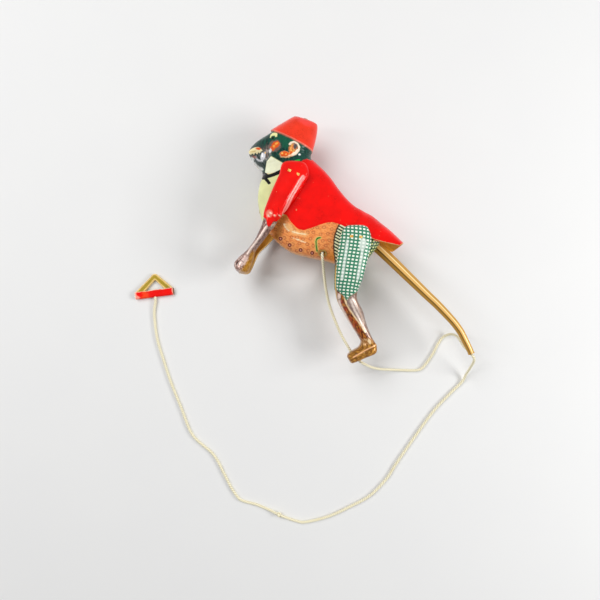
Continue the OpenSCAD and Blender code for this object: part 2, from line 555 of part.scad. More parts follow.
// The red bar is a strip folded lengthwise, with its mouth towards the triangle
module handle_bar() {
    color("red") at_handle() difference() {
        rotate([0, 90, 0]) linear_extrude(bar_len, center = true) difference() {
            fold(bar_t / 2, bar_h);
            translate([0, sheet]) fold(bar_t / 2 - sheet, bar_h);
        }
        translate([0, -bar_h / 2, 0]) rotate([90, 0, 0])
            cylinder(d = cord_d + cord_play, h = 4 * sheet, center = true);
    }
}
module fold(r, h) {
    translate([0, r - bar_h / 2]) circle(r = r);
    translate([-r, r - bar_h / 2]) square([2 * r, h - r]);
}
// The finger triangle: two strips that meet in a round apex, and a base held in the bar
module handle_frame() {
    foot = [bar_len / 2 - 0.4, bar_h / 2 + 0.3];
    apex = [apex_x, triangle_h];
    base_y = -bar_h / 2 + sheet + stop_d() + 2 * PRESS_GAP + SEAT_GAP;
    turn = 1.6;
    function beside(p, q, w) = let (d = unit(q - p)) [p + w * [d.y, -d.x], d];
    function meet(a, b) = a[0] + a[1] * cross(b[0] - a[0], b[1]) / cross(a[1], b[1]);
    left = beside([-foot.x, foot.y], apex, strip_w);
    right = beside(apex, foot, strip_w);
    mouth = [[0, bar_h / 2 + 0.1], [1, 0]];
    tip_left = apex - turn * left[1];
    tip_right = apex + turn * right[1];
    color("darkgoldenrod") at_handle() translate([0, 0, -strip_t / 2]) linear_extrude(strip_t) difference() {
        polygon([[-foot.x, base_y], [foot.x, base_y], foot, tip_right,
                 mix((tip_left + tip_right) / 2, apex, 0.5), tip_left, [-foot.x, foot.y]]);
        polygon([meet(left, mouth), meet(right, mouth), meet(left, right)]);
    }
}

near_body_shell();
far_body_shell();
tail();
belly_eyelet();
spring_post();
hip_spring();
near_leg();
far_leg();
hip_axle();
hip_lever();
near_arm();
far_arm();
shoulder_axle();
lever_knot();
cord_inside();
cord_belly_to_foot();
cord_in_foot();
cord_foot_to_tail();
cord_tail_to_knot();
cord_knot();
cord_knot_to_handle();
cord_end_knot();
handle_frame();
handle_bar();
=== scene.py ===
"""Looks of a pressed tinplate climbing monkey that lies on its far side, with its pull cord spread out.

Figure points are in millimetres from the hip axle at the seam: X to the tail, Y to the head, Z to the
near side. Print points are the places of the printed picture as the camera sees them: one unit is a
600th of the width of the view, X to the right and Y down. Both halves of the toy carry the same print.
"""
import logging
import math
from dataclasses import dataclass, field, replace
from enum import Enum
from typing import Callable, Iterable, Optional, Sequence, Union

import bpy
import numpy as np
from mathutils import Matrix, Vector


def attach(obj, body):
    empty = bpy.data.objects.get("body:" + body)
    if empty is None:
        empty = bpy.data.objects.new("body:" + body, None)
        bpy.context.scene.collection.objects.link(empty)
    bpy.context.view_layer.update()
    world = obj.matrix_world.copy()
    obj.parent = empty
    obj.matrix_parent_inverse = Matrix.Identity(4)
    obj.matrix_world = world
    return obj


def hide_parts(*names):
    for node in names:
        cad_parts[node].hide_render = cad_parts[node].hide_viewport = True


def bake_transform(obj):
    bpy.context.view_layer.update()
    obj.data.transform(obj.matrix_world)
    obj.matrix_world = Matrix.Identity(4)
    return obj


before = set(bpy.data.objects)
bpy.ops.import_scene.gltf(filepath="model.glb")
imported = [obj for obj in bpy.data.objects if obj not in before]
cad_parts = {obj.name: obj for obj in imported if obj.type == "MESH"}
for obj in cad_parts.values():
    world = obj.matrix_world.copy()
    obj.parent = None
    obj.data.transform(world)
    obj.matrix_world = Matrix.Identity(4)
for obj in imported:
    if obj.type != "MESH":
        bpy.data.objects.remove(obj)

Array = np.ndarray
Marks = dict[str, Array]
Line = Sequence[Sequence[float]]
Colour = tuple[float, float, float]
Point = tuple[float, float, float]
Piece = bpy.types.Object
LOG = logging.getLogger("climbing_monkey")

# The hip axle at the seam, in the toy's own frame, and the shoulder axle in figure points
HIP = np.array([38.4, -1.5, 22.0])
SHOULDER = np.array([-41.0, 42.0, 0.0])
# Height of a figure point that lies on the table
LOWEST = 0.02 - HIP[2]
# Thickness of the tin, half depth of the body, and heights over the seam of a limb's rim and its top
SHEET = 0.5
BODY_DEPTH = 14.5
RIM = 15.5
LEG_TOP = 20.4
ARM_TOP = 21.0
CORD_D = 1.8
EYELET_AT = (-22.0, -9.4, 10.295)
# The camera in millimetres, the print point under it, and the width of a print unit on the table
CAMERA_AT = np.array([12.0, -54.9, 340.0])
CAMERA_FOOT = np.array([316.0, 318.0])
TABLE_UNIT = 0.75
# Depth of a mark far inside its form and far outside it
WELL_IN, WELL_OUT = 9.0, -9.0
# Metres in a millimetre
METRES = 0.001
# Millimetres of the chart in one unit of the UV map
CHART_MM = 100

# Sections of the fez and the body: front x y, back x y, share of the depth, fullness and skew
FEZ = [
    [-40.6, 88.0, -27.8, 83.6, 0.00, 1.00, 1.0], [-42.4, 87.2, -25.4, 81.4, 0.62, 1.00, 1.0],
    [-50.0, 82.6, -26.0, 74.0, 0.84, 0.98, 1.0], [-58.0, 77.5, -28.6, 63.4, 1.00, 0.95, 1.0]]
BODY = [
    [-57.6, 75.9, -29.4, 62.4, 0.93, 0.90, 1.0], [-64.0, 72.0, -29.8, 60.8, 0.93, 0.85, 0.9],
    [-68.8, 69.0, -30.0, 60.0, 0.92, 0.85, 0.8], [-72.2, 65.5, -30.0, 59.2, 0.91, 0.85, 0.75],
    [-73.4, 62.0, -30.0, 58.5, 0.90, 0.85, 0.75], [-71.4, 57.0, -29.8, 57.8, 0.88, 0.85, 0.75],
    [-68.6, 53.2, -29.2, 56.8, 0.86, 0.85, 0.8], [-64.4, 49.4, -27.4, 55.0, 0.84, 0.80, 0.9],
    [-63.4, 45.0, -23.5, 51.3, 0.88, 0.75, 1.0], [-65.6, 39.0, -19.6, 47.4, 0.94, 0.70, 1.0],
    [-66.8, 30.0, -15.4, 42.4, 0.98, 0.68, 1.0], [-65.6, 20.5, -11.0, 36.2, 1.00, 0.66, 1.0],
    [-61.8, 10.0, -5.6, 29.6, 1.00, 0.66, 1.0], [-54.6, 0.6, 0.4, 24.0, 1.00, 0.66, 1.0],
    [-43.6, -7.4, 6.2, 20.6, 1.00, 0.66, 1.0], [-30.0, -11.3, 10.4, 17.8, 1.00, 0.66, 1.0],
    [-18.0, -13.8, 13.6, 14.8, 1.00, 0.66, 1.0], [-4.6, -18.0, 16.2, 11.0, 0.98, 0.66, 1.0],
    [6.0, -15.6, 18.0, 6.0, 0.90, 0.70, 1.0], [13.0, -8.4, 18.6, 1.0, 0.62, 0.80, 1.0],
    [15.6, -4.6, 17.6, -2.2, 0.00, 1.00, 1.0]]
# The way from the brim to the crown
FEZ_WAY = np.array([0.432, 0.902, 0.0])
# Sections of the coat's tail: a point of the seam and a point of the lower edge
COAT_TAIL = [
    [7, 20.1, -1.5, 5.5], [12.6, 17.2, 5.2, 2.2], [18.6, 12.3, 12.0, -0.6], [25.0, 7.0, 19.0, -2.6],
    [30.0, 2.0, 25.2, -4.0], [33.8, -2.2, 29.6, -5.0]]
# Sections of a limb: front x y, back x y, front rim, back rim, outer height, fullness in front and behind
LEG = [
    [-3.4, 8.6, 4.2, 8.6, RIM, RIM, RIM, 0.8, 0.8], [-7.8, 6.2, 8.0, 6.2, RIM, RIM, LEG_TOP - 0.6, 0.7, 0.7],
    [-10, 0, 10, 0, RIM, RIM, LEG_TOP, 0.6, 0.6], [-11.3, -7, 9.5, -7, RIM, RIM, LEG_TOP + 0.1, 0.6, 0.6],
    [-12.2, -16, 7.2, -16, RIM, RIM, LEG_TOP - 0.2, 0.6, 0.6],
    [-12.7, -26.7, 4.6, -26.7, 12.6, 12.6, 18.6, 0.6, 0.6], [-12.4, -34.6, 2, -34.6, 7, 7, 15.6, 0.7, 0.6],
    [-11.6, -40.6, 2.2, -40.8, 2, 2, 12.6, 0.8, 0.5], [-8.6, -47.4, 6.0, -48.4, 0, 0, 10.6, 0.9, 0.45],
    [-2.8, -57.2, 8.6, -57.6, 0, 0, 9.2, 0.9, 0.4], [3.0, -66.0, 12.2, -66.4, 0, 0, 8.2, 0.8, 0.4],
    [4.8, -69.4, 14.6, -70.6, 0, 0, 8, 0.7, 0.4], [4.4, -71.8, 16.0, -74.4, 0, 0, 8, 0.6, 0.4],
    [2.8, -73.8, 14.8, -78.2, 0, 0, 8, 0.5, 0.4], [-0.6, -75.8, 8.6, -80.9, 0, 0, 8, 0.5, 0.35],
    [-3.6, -78, 2.0, -83.8, 0, 0, 7.4, 0.5, 0.35], [-4.6, -79.8, -1.2, -85, 0, 0, 5.4, 0.6, 0.5],
    [-4.6, -81, -2.6, -84.4, 0, 0, 0, 0.8, 0.8]]
ARM = [
    [-4, 9.2, 3.2, 9.2, RIM, RIM, RIM, 0.8, 0.8], [-7.8, 6.6, 7.8, 6.4, RIM, RIM, ARM_TOP - 0.6, 0.7, 0.7],
    [-9.5, 0, 9.5, 0, RIM, RIM, ARM_TOP, 0.6, 0.6], [-12.8, -7.4, 6.4, -6, RIM, RIM, 21.4, 0.6, 0.6],
    [-16.4, -16, 1.4, -14.2, RIM, RIM, 21.8, 0.6, 0.6], [-19.4, -24.4, -4.4, -22.6, RIM, RIM, 22, 0.6, 0.6],
    [-20.2, -29, -8.4, -27.4, RIM, RIM, 21.4, 0.6, 0.6],
    [-22.6, -35, -13.6, -34.2, 12.6, 13.6, 19.8, 0.7, 0.7],
    [-27.8, -43.6, -20.8, -42.6, 8, 10.6, 16.6, 0.8, 0.8], [-33, -49.2, -26.4, -49, 4.4, 7.4, 13.8, 0.8, 0.8],
    [-38.6, -53, -28.8, -55.4, 1, 4, 12.2, 0.8, 0.8], [-42.2, -57.2, -30.8, -60.4, 0, 2.4, 11.5, 0.75, 0.75],
    [-41.6, -61.6, -32.8, -63.8, 0, 1.6, 10.1, 0.75, 0.75],
    [-39.2, -64, -35.4, -64.8, 0.6, 0.8, 0.7, 0.8, 0.8]]
# Middle line of the tail, from inside the body to its tip
TAIL_ANGLE = math.radians(-43.3)
TAIL_ROOT = np.array([17.0, -4.0])
TAIL = [
    [28.6, -15], [37, -23.2], [44, -30], [51.2, -37], [58, -43.4], [64.4, -50], [70.2, -56.4], [74.6, -62.4],
    [77.8, -68.4], [80.6, -74], [82.6, -78.4]]
# The cord's stretches, in millimetres in the toy's own frame
ROUTE_INSIDE = [
    [41.2, -12.1, 21.4], [41.2, -12.1, 23.4], [38.4, -11.9, 25.4], [33.4, -11.3, 26.6], [26.4, -9.5, 27],
    [21, -8.1, 27.6], [17.6, -7.5, 28.4], [16.6, -9, 30], [16.3, -10.9, 32.3]]
ROUTE_TO_FOOT = [
    [16.3, -10.9, 32.3], [16.15, -11.9, 33.5], [16.3, -13.7, 33.9], [16.6, -16.5, 32.3], [17.1, -20.5, 29.4],
    [17.8, -27.3, 26.3], [19, -35.3, 23.8], [21.4, -45.8, 22.2], [25.4, -56.8, 21.6], [29.8, -66.8, 21.6],
    [34.8, -75.7, 22], [36.3, -78.4, 22]]
ROUTE_IN_FOOT = [
    [36.3, -78.4, 22], [37.3, -80.2, 22], [39, -82.3, 22], [40.7, -83.6, 22], [42.3, -84.8, 22]]
ROUTE_TO_TAIL = [
    [42.3, -84.8, 22], [44.3, -86.3, 22], [48.2, -88.4, 19.9], [53, -90.5, 15.4], [58.9, -92.1, 10],
    [66.4, -93.1, 4.2], [74.4, -93.8, 1.2], [86.4, -94, 0.9], [91.9, -91.9, 0.9], [98.9, -82.5, 0.9],
    [103.4, -73.9, 0.9], [107.4, -68.9, 1], [112, -66.9, 4], [115, -68.3, 9], [115.5, -71.7, 15.8],
    [116.3, -74.7, 19.8], [118.3, -77.2, 21.3], [120.2, -79.6, 22]]
ROUTE_TO_KNOT = [
    [120.2, -79.6, 22], [121.8, -81.6, 22.6], [123, -83.7, 21.9], [123.6, -86.7, 18.4], [123.9, -91.3, 10.8],
    [123.2, -96.8, 4], [121, -102.7, 1.2], [112.4, -111.3, 0.9], [99.8, -124.7, 0.9], [85.2, -144.7, 0.9],
    [71.9, -164.1, 0.9], [64.8, -175.1, 0.9], [52.4, -187.7, 0.9], [38.4, -195.5, 0.9], [21.4, -203.3, 0.9],
    [4.2, -207.5, 0.9], [-2.2, -206.8, 0.9], [-8.2, -204.9, 1], [-12.5, -202.9, 1.9], [-14.3, -202.1, 1.9]]
ROUTE_TO_HANDLE = [
    [-16.9, -200.9, 1.9], [-18.7, -200.1, 1.9], [-23.2, -198.2, 1], [-33.1, -194.2, 0.9],
    [-40.6, -192.3, 0.9], [-45.8, -189.7, 0.9], [-51.6, -181.4, 0.9], [-56.7, -171.5, 0.9],
    [-64.8, -157, 0.9], [-80.2, -142.5, 0.9], [-88.6, -122.6, 0.9], [-96.6, -102.6, 0.9], [-102, -86.3, 0.9],
    [-106.6, -71.1, 0.9], [-108.6, -57.3, 0.9], [-108.9, -49.3, 1], [-107.9, -42.6, 1.4],
    [-108.17, -38.93, 1.4]]


class Side(Enum):
    """Which half of the toy a pressing belongs to, with the sign of its Z."""

    NEAR = 1
    FAR = -1


class Pattern(Enum):
    """How a printed layer's two colours alternate."""

    PLAIN = "plain"
    CHECKS = "checks"
    STRIPES = "stripes"
    CELLS = "cells"
    FUR = "fur"


# Shapes worked out on grids


def through(rows: Array, at: Array) -> Array:
    """Rows of a smooth curve that passes through the given rows.

    Between rows b and c, with a before and d after them, at share t, a row is half of
    2b + (c - a) t + (2a - 5b + 4c - d) t^2 + (3b - a - 3c + d) t^3.

    Args:
        rows: The rows to pass through.
        at: Places along the curve, counted in rows.

    Returns:
        One row for each place.
    """
    last = len(rows) - 1
    index = np.minimum(at.astype(int), last - 1)
    t = (at - index)[:, None]
    a = rows[np.maximum(index - 1, 0)]
    b = rows[index]
    c = rows[index + 1]
    d = rows[np.minimum(index + 2, last)]
    return 0.5 * (2 * b + (c - a) * t + (2 * a - 5 * b + 4 * c - d) * t**2 + (3 * b - a - 3 * c + d) * t**3)


def unit(vectors: Array) -> Array:
    """Vectors divided by their lengths."""
    return vectors / np.maximum(np.linalg.norm(vectors, axis=-1, keepdims=True), 1e-12)


def ease(values: Array, low: float, high: float) -> Array:
    """Smooth step: 0 below low, 1 above high, and 3t^2 - 2t^3 between them at share t."""
    t = np.clip((values - low) / (high - low), 0, 1)
    return t * t * (3 - 2 * t)


def across_shares(count: int) -> Array:
    """Angles from 0 to pi across a pressing, closer together at both rims.

    The angle is pi times the mean of w and (1 - cos(pi w)) / 2, for w in even steps from 0 to 1.
    """
    w = np.linspace(0, 1, count)
    return np.pi * (0.5 * w + 0.25 * (1 - np.cos(np.pi * w)))


def section_points(rows: Array, angles: Array) -> Array:
    """Points of a pressing's sections, from the front rim over the outer face to the back rim.

    At angle a the share across is u = ((1 - cos a) / 2)^skew. The point lies at share u between the
    front and the back point, at the height of the rims mixed by u plus (height - mean rim) times
    sin(a)^fullness, with the front fullness in the first half and the back one in the second.

    Args:
        rows: Front x y, back x y, front rim, back rim, height, front and back fullness, skew.
        angles: The angles a.

    Returns:
        An array of rows by angles by three.
    """
    r = rows[:, :, None]
    a = angles[None, :]
    u = ((1 - np.cos(a)) / 2) ** r[:, 9]
    full = np.where(2 * a < np.pi, r[:, 7], r[:, 8])
    rise = np.clip(np.sin(a), 0, 1) ** full
    return np.stack([r[:, 0] + (r[:, 2] - r[:, 0]) * u, r[:, 1] + (r[:, 3] - r[:, 1]) * u,
                     r[:, 4] + (r[:, 5] - r[:, 4]) * u + (r[:, 6] - (r[:, 4] + r[:, 5]) / 2) * rise], axis=-1)


def outward(grid: Array, level: Sequence[bool] = (True, True, True, True)) -> Array:
    """Outward directions at the points of a grid.

    The direction is the cross product of the steps down the rows and along a row. It is turned level
    on the rims that are named: first row, last row, first column, last column.

    Args:
        grid: Points as rows by columns by three.
        level: Which of the four rims are level.

    Returns:
        Unit vectors of the grid's shape.
    """
    normals = np.cross(np.gradient(grid, axis=0), np.gradient(grid, axis=1))
    for wanted, rim in zip(level, (np.s_[0], np.s_[-1], np.s_[:, 0], np.s_[:, -1])):
        if wanted:
            normals[rim][..., 2] = 0
    return unit(normals)


def run_lengths(grid: Array, axis: int) -> Array:
    """Distance run along a grid of points, from 0 at its first point.

    Args:
        grid: The points.
        axis: The axis to run along.

    Returns:
        The distance at each point.
    """
    steps = np.linalg.norm(np.diff(grid, axis=axis), axis=-1)
    start = np.zeros_like(np.take(steps, [0], axis=axis))
    return np.concatenate([start, np.cumsum(steps, axis=axis)], axis=axis)


def as_seen(points: Array) -> Array:
    """Print points of figure points: what lies nearer to the camera spreads out from its foot.

    A unit of the print at height h is the table's unit times (camera height - h) / camera height.

    Args:
        points: Figure points.

    Returns:
        Their print points.
    """
    row = points + HIP
    unit_mm = TABLE_UNIT * (CAMERA_AT[2] - row[..., 2]) / CAMERA_AT[2]
    return np.stack([CAMERA_FOOT[0] + (row[..., 0] - CAMERA_AT[0]) / unit_mm,
                     CAMERA_FOOT[1] - (row[..., 1] - CAMERA_AT[1]) / unit_mm], axis=-1)


def line_distance(at: Array, corners: Line, closed: bool = False) -> Array:
    """Distance from each place to a line through corners.

    For each straight part the nearest point is at share t = (p - a).(b - a) / |b - a|^2, kept from 0 to 1.

    Args:
        at: Places, in two columns.
        corners: The line's corners.
        closed: Whether the line returns to its start.

    Returns:
        The distances.
    """
    line = np.array(corners, float)
    ends = np.roll(line, -1, axis=0) if closed else line[1:]
    starts = line if closed else line[:-1]
    way = ends - starts
    apart = at[:, None, :] - starts[None]
    t = np.clip((apart * way).sum(-1) / np.maximum((way**2).sum(-1), 1e-9), 0, 1)
    return np.linalg.norm(apart - t[..., None] * way, axis=-1).min(axis=1)


# Forms of the print


@dataclass(frozen=True)
class Area:
    """The area inside an outline."""

    corners: Line

    def depth(self, at: Array) -> Array:
        """Depth of each place inside the outline, negative outside it.

        A place is inside where a ray to the right crosses the outline an odd number of times.

        Args:
            at: Print points.

        Returns:
            The depths.
        """
        a = np.array(self.corners, float)
        b = np.roll(a, -1, axis=0)
        x, y = at[:, :1], at[:, 1:]
        spans = (a[:, 1] > y) != (b[:, 1] > y)
        rise = np.where(np.abs(b[:, 1] - a[:, 1]) < 1e-9, 1e-9, b[:, 1] - a[:, 1])
        crossings = spans & (x < (b[:, 0] - a[:, 0]) * (y - a[:, 1]) / rise + a[:, 0])
        sign = np.where(crossings.sum(axis=1) % 2 == 1, 1.0, -1.0)
        return sign * line_distance(at, a, closed=True)


@dataclass(frozen=True)
class Stroke:
    """A stroke of a half width along a line."""

    half: float
    line: Line

    def depth(self, at: Array) -> Array:
        """The half width less the distance of each place from the line."""
        return self.half - line_distance(at, self.line)


@dataclass(frozen=True)
class Oval:
    """An oval: its centre, its two radii and its turn in degrees."""

    centre: tuple[float, float]
    radii: tuple[float, float]
    turn: float = 0.0

    def reach(self, at: Array) -> Array:
        """Distance of each place from the centre, measured in the radii after turning.

        Args:
            at: Print points.

        Returns:
            The distances: 1 on the oval's edge.
        """
        c, s = math.cos(math.radians(self.turn)), math.sin(math.radians(self.turn))
        d = at - np.array(self.centre, float)
        along, beside = d[:, 0] * c + d[:, 1] * s, d[:, 1] * c - d[:, 0] * s
        return np.hypot(along / self.radii[0], beside / self.radii[1])

    def depth(self, at: Array) -> Array:
        """Depth of each place inside the oval: 1 less its reach, times the mean radius."""
        return (1 - self.reach(at)) * sum(self.radii) / 2

    def swell(self, at: Array) -> Array:
        """A round bump: (1 - reach^2)^2 inside the oval, and 0 outside."""
        return np.clip(1 - self.reach(at) ** 2, 0, 1) ** 2


@dataclass(frozen=True)
class Spots:
    """Round spots of one radius."""

    radius: float
    centres: Union[Line, Array]

    def depth(self, at: Array) -> Array:
        """The radius less the distance of each place from the nearest centre."""
        apart = at[:, None, :] - np.array(self.centres, float)[None]
        return self.radius - np.linalg.norm(apart, axis=-1).min(axis=1)


def strokes(half: float, lines: Iterable[Line]) -> list[Stroke]:
    """Strokes of one half width along several lines."""
    return [Stroke(half, line) for line in lines]


# Meshes


def put(name: str, data: bpy.types.ID) -> Piece:
    """Makes an object that holds the data, and links it to the scene.

    Args:
        name: The object's name.
        data: A mesh, lamp or camera.

    Returns:
        The object, at the origin.
    """
    made = bpy.data.objects.new(name, data)
    bpy.context.scene.collection.objects.link(made)
    return made


@dataclass
class Skin:
    """A mesh in the making.

    Points are figure points, quads index them, finish holds each quad's material number, fans are faces
    with any number of corners and their material number, marks are named values at the points, and
    chart holds the chart place in millimetres of each corner of each quad.
    """

    points: Array
    quads: Array
    finish: Array
    fans: list[tuple[list[int], int]] = field(default_factory=list)
    marks: Marks = field(default_factory=dict)
    chart: Optional[Array] = None

    def charts(self) -> Array:
        """The chart, or zeros where there is none."""
        return np.zeros((len(self.quads), 4, 2)) if self.chart is None else self.chart

    def joined(self, other: "Skin") -> "Skin":
        """This mesh and another one as one mesh.

        Args:
            other: The other mesh.

        Returns:
            Both, where a mark that one of them lacks is 0 there.
        """
        shift = len(self.points)
        names = list(dict.fromkeys([*self.marks, *other.marks]))
        blank_a, blank_b = np.zeros(shift), np.zeros(len(other.points))
        marks = {n: np.concatenate([self.marks.get(n, blank_a), other.marks.get(n, blank_b)]) for n in names}
        return Skin(np.concatenate([self.points, other.points]),
                    np.concatenate([self.quads, other.quads + shift]),
                    np.concatenate([self.finish, other.finish]),
                    self.fans + [([i + shift for i in f], m) for f, m in other.fans], marks,
                    np.concatenate([self.charts(), other.charts()]))

    def on_side(self, side: Side) -> "Skin":
        """The mesh itself on the near side, and its mirror in the seam on the far side.

        Args:
            side: The side of the toy.

        Returns:
            The mesh for that side.
        """
        if side is Side.NEAR:
            return self
        return replace(self, points=self.points * np.array([1, 1, side.value]), quads=self.quads[:, ::-1],
                       fans=[(f[::-1], m) for f, m in self.fans], chart=self.charts()[:, ::-1])

    def placed(self, turned: Array, at: Sequence[float]) -> "Skin":
        """The mesh turned by a matrix and then moved."""
        return replace(self, points=self.points @ turned.T + np.array(at, float))

    def without(self, gone: Array) -> "Skin":
        """The mesh without the quads that gone marks."""
        return replace(self, quads=self.quads[~gone], finish=self.finish[~gone], chart=self.charts()[~gone])

    def build(self, name: str, materials: Sequence[bpy.types.Material], crease: float) -> Piece:
        """Makes the object, with its points in the shared frame in metres.

        Args:
            name: The object's name.
            materials: The materials, in the order of the finish numbers.
            crease: The angle in degrees from which an edge is drawn sharp.

        Returns:
            The object, at the origin.
        """
        mesh = bpy.data.meshes.new(name)
        faces = self.quads.tolist() + [f for f, _ in self.fans]
        mesh.from_pydata((self.points + HIP) * METRES, [], faces)
        numbers = np.concatenate([self.finish, [m for _, m in self.fans]]).astype(np.int32)
        mesh.polygons.foreach_set("material_index", numbers)
        mesh.polygons.foreach_set("use_smooth", np.ones(len(faces), bool))
        chart = np.zeros((len(mesh.loops), 2))
        chart[:len(self.quads) * 4] = self.charts().reshape(-1, 2) / CHART_MM
        mesh.uv_layers.new(name="Chart").data.foreach_set("uv", chart.ravel())
        for mark, values in self.marks.items():
            mesh.attributes.new(mark, "FLOAT", "POINT").data.foreach_set("value", values.astype(np.float32))
        for material in materials:
            mesh.materials.append(material)
        mesh.set_sharp_from_angle(angle=math.radians(crease))
        mesh.update()
        return put(name, mesh)


def grid_quads(rows: int, columns: int, around: bool = False, over: bool = False) -> Array:
    """Corner numbers of a grid's faces, that face along rows-down cross columns-along.

    Args:
        rows: Count of rows.
        columns: Count of columns.
        around: Whether a row returns to its start.
        over: Whether a column returns to its start.

    Returns:
        Four numbers for each face.
    """
    i, j = np.meshgrid(np.arange(rows if over else rows - 1), np.arange(columns if around else columns - 1),
                       indexing="ij")
    below, beside = (i + 1) % rows, (j + 1) % columns
    corners = (i * columns + j, below * columns + j, below * columns + beside, i * columns + beside)
    return np.stack([corner.ravel() for corner in corners], axis=1)


def grid_chart(u: Array, v: Array) -> Array:
    """Chart places of the corners of a grid's faces, from u and v at its points."""
    p = np.stack([u, v], axis=-1)
    return np.stack([p[:-1, :-1], p[1:, :-1], p[1:, 1:], p[:-1, 1:]], axis=2).reshape(-1, 4, 2)


def pressed_sheet(outer: Array, inner: Array, marks: Marks, chart: Array, coarse: int) -> Skin:
    """A sheet of tin between an outer grid and a coarser inner one, closed round its four rims.

    The inner grid takes every coarse-th point of both directions. Each rim is closed by faces that have
    one edge of the inner grid and the edges of the outer grid over it.

    Args:
        outer: Outer points, whose counts less one are multiples of coarse.
        inner: Inner points under every outer one.
        marks: Values at the outer points.
        chart: Chart places of the outer faces' corners.
        coarse: How many outer steps make one inner step.

    Returns:
        The mesh, with finish 0 outside and 1 inside and on the rims.
    """
    rows, columns = outer.shape[:2]
    under = inner[::coarse, ::coarse]
    n, m = under.shape[:2]
    shift = rows * columns
    out = grid_quads(rows, columns)
    back = grid_quads(n, m)[:, ::-1] + shift
    top = np.arange(shift).reshape(rows, columns)
    low = shift + np.arange(n * m).reshape(n, m)
    fans: list[tuple[list[int], int]] = []
    for edge, base in ((top[::-1, 0], low[::-1, 0]), (top[:, -1], low[:, -1]),
                       (top[0], low[0]), (top[-1, ::-1], low[-1, ::-1])):
        for k in range(len(base) - 1):
            over = edge[k * coarse:(k + 1) * coarse + 1].tolist()
            fans.append(([*over, int(base[k + 1]), int(base[k])], 1))
    blank = np.full(n * m, WELL_OUT)
    padded = {name: np.concatenate([value.ravel(), blank]) for name, value in marks.items()}
    return Skin(np.concatenate([outer.reshape(-1, 3), under.reshape(-1, 3)]), np.concatenate([out, back]),
                np.repeat([0.0, 1.0], [len(out), len(back)]), fans, padded,
                np.concatenate([chart, np.zeros((len(back), 4, 2))]))


def tube(line: Array, radii: Array, around: int, ends: bool = True, lobes: int = 0, depth: float = 0.0,
         pitch: float = 1.0, far: Optional[Array] = None) -> Skin:
    """A round or stranded tube along a line.

    With way the line's direction and side = way x (0.3, 0.2, 1) made unit, a ring's point at angle a is
    the line's point + r (cos(a) side + sin(a) side x way). With lobes the radius is multiplied by
    1 - depth + depth |cos(lobes (a - phase) / 2)|, where the phase grows by a turn each pitch.

    Args:
        line: Points of the middle line.
        radii: The radius at each point.
        around: Points in a ring.
        ends: Whether both ends are closed.
        lobes: Number of strands, or 0 for a round tube.
        depth: Depth of the grooves between strands, as a share of the radius.
        pitch: Length of one turn of the strands.
        far: A direction to use in place of (0.3, 0.2, 1).

    Returns:
        The mesh, whose chart is the strand angle in turns and the length in millimetres.
    """
    way = unit(np.gradient(line, axis=0))
    side = unit(np.cross(way, np.array([0.3, 0.2, 1.0]) if far is None else far))
    other = np.cross(side, way)
    angle = 2 * np.pi * np.arange(around) / around
    length = run_lengths(line, 0)
    phase = 2 * np.pi * length / pitch
    turned = angle[None, :] - phase[:, None]
    groove = 1 - depth + depth * np.abs(np.cos(turned * lobes / 2)) if lobes else np.ones_like(turned)
    r = radii[:, None] * groove
    rings = (line[:, None] + (r * np.cos(angle))[..., None] * side[:, None]
             + (r * np.sin(angle))[..., None] * other[:, None])
    count = len(line)
    quads = grid_quads(count, around, around=True)
    turn = (np.arange(around + 1) / around)[None, :] - (phase / (2 * np.pi))[:, None]
    chart = grid_chart(turn, np.repeat(length[:, None], around + 1, axis=1))
    last = (count - 1) * around
    fans = [(list(range(around)), 0), (list(range(last + around - 1, last - 1, -1)), 0)] if ends else []
    return Skin(rings.reshape(-1, 3), quads, np.zeros(len(quads)), fans, {}, chart)


def even_line(points: Array, step: float) -> Array:
    """A smooth line through points.

    Args:
        points: The points to pass through.
        step: The distance between the line's own points.

    Returns:
        The line's points.
    """
    last = len(points) - 1
    fine = through(np.array(points, float), np.linspace(0, last, 24 * last + 1))
    run = run_lengths(fine, 0)
    count = max(int(round(run[-1] / step)), 4) + 1
    at = np.linspace(0, run[-1], count)
    return np.stack([np.interp(at, run, fine[:, k]) for k in range(fine.shape[1])], axis=1)


def closed_both_ways(grid: Array, marks: Optional[Marks] = None) -> Skin:
    """A mesh from a grid that returns to its start in both directions."""
    quads = grid_quads(*grid.shape[:2], around=True, over=True)
    return Skin(grid.reshape(-1, 3), quads, np.zeros(len(quads)), [], marks or {})


def turned_ring(profile: Array, around: int) -> Skin:
    """A ring turned from a profile.

    Args:
        profile: Radius and height of the profile's points.
        around: Points round the Z axis.

    Returns:
        The mesh.
    """
    angle = 2 * np.pi * np.arange(around)[:, None] / around
    radius, height = profile.T[:, None]
    grid = [np.cos(angle) * radius, np.sin(angle) * radius, height + 0 * angle]
    return closed_both_ways(np.stack(grid, axis=-1))


def closed_form(grid: Array) -> Skin:
    """A mesh from a grid whose rows are rings from the bottom to the top.

    Args:
        grid: The points.

    Returns:
        The mesh, with both ends closed.
    """
    rows, columns = grid.shape[:2]
    quads = grid_quads(rows, columns, around=True)[:, ::-1]
    last = (rows - 1) * columns
    fans = [(list(range(columns))[::-1], 0), (list(range(last, last + columns)), 0)]
    return Skin(grid.reshape(-1, 3), quads, np.zeros(len(quads)), fans)


def about(axis: str, degrees: float) -> Array:
    """The matrix of a turn.

    Args:
        axis: Y or Z.
        degrees: The angle.

    Returns:
        The matrix.
    """
    c, s = math.cos(math.radians(degrees)), math.sin(math.radians(degrees))
    return np.array([[c, 0, s], [0, 1, 0], [-s, 0, c]] if axis == "Y" else [[c, -s, 0], [s, c, 0], [0, 0, 1]])


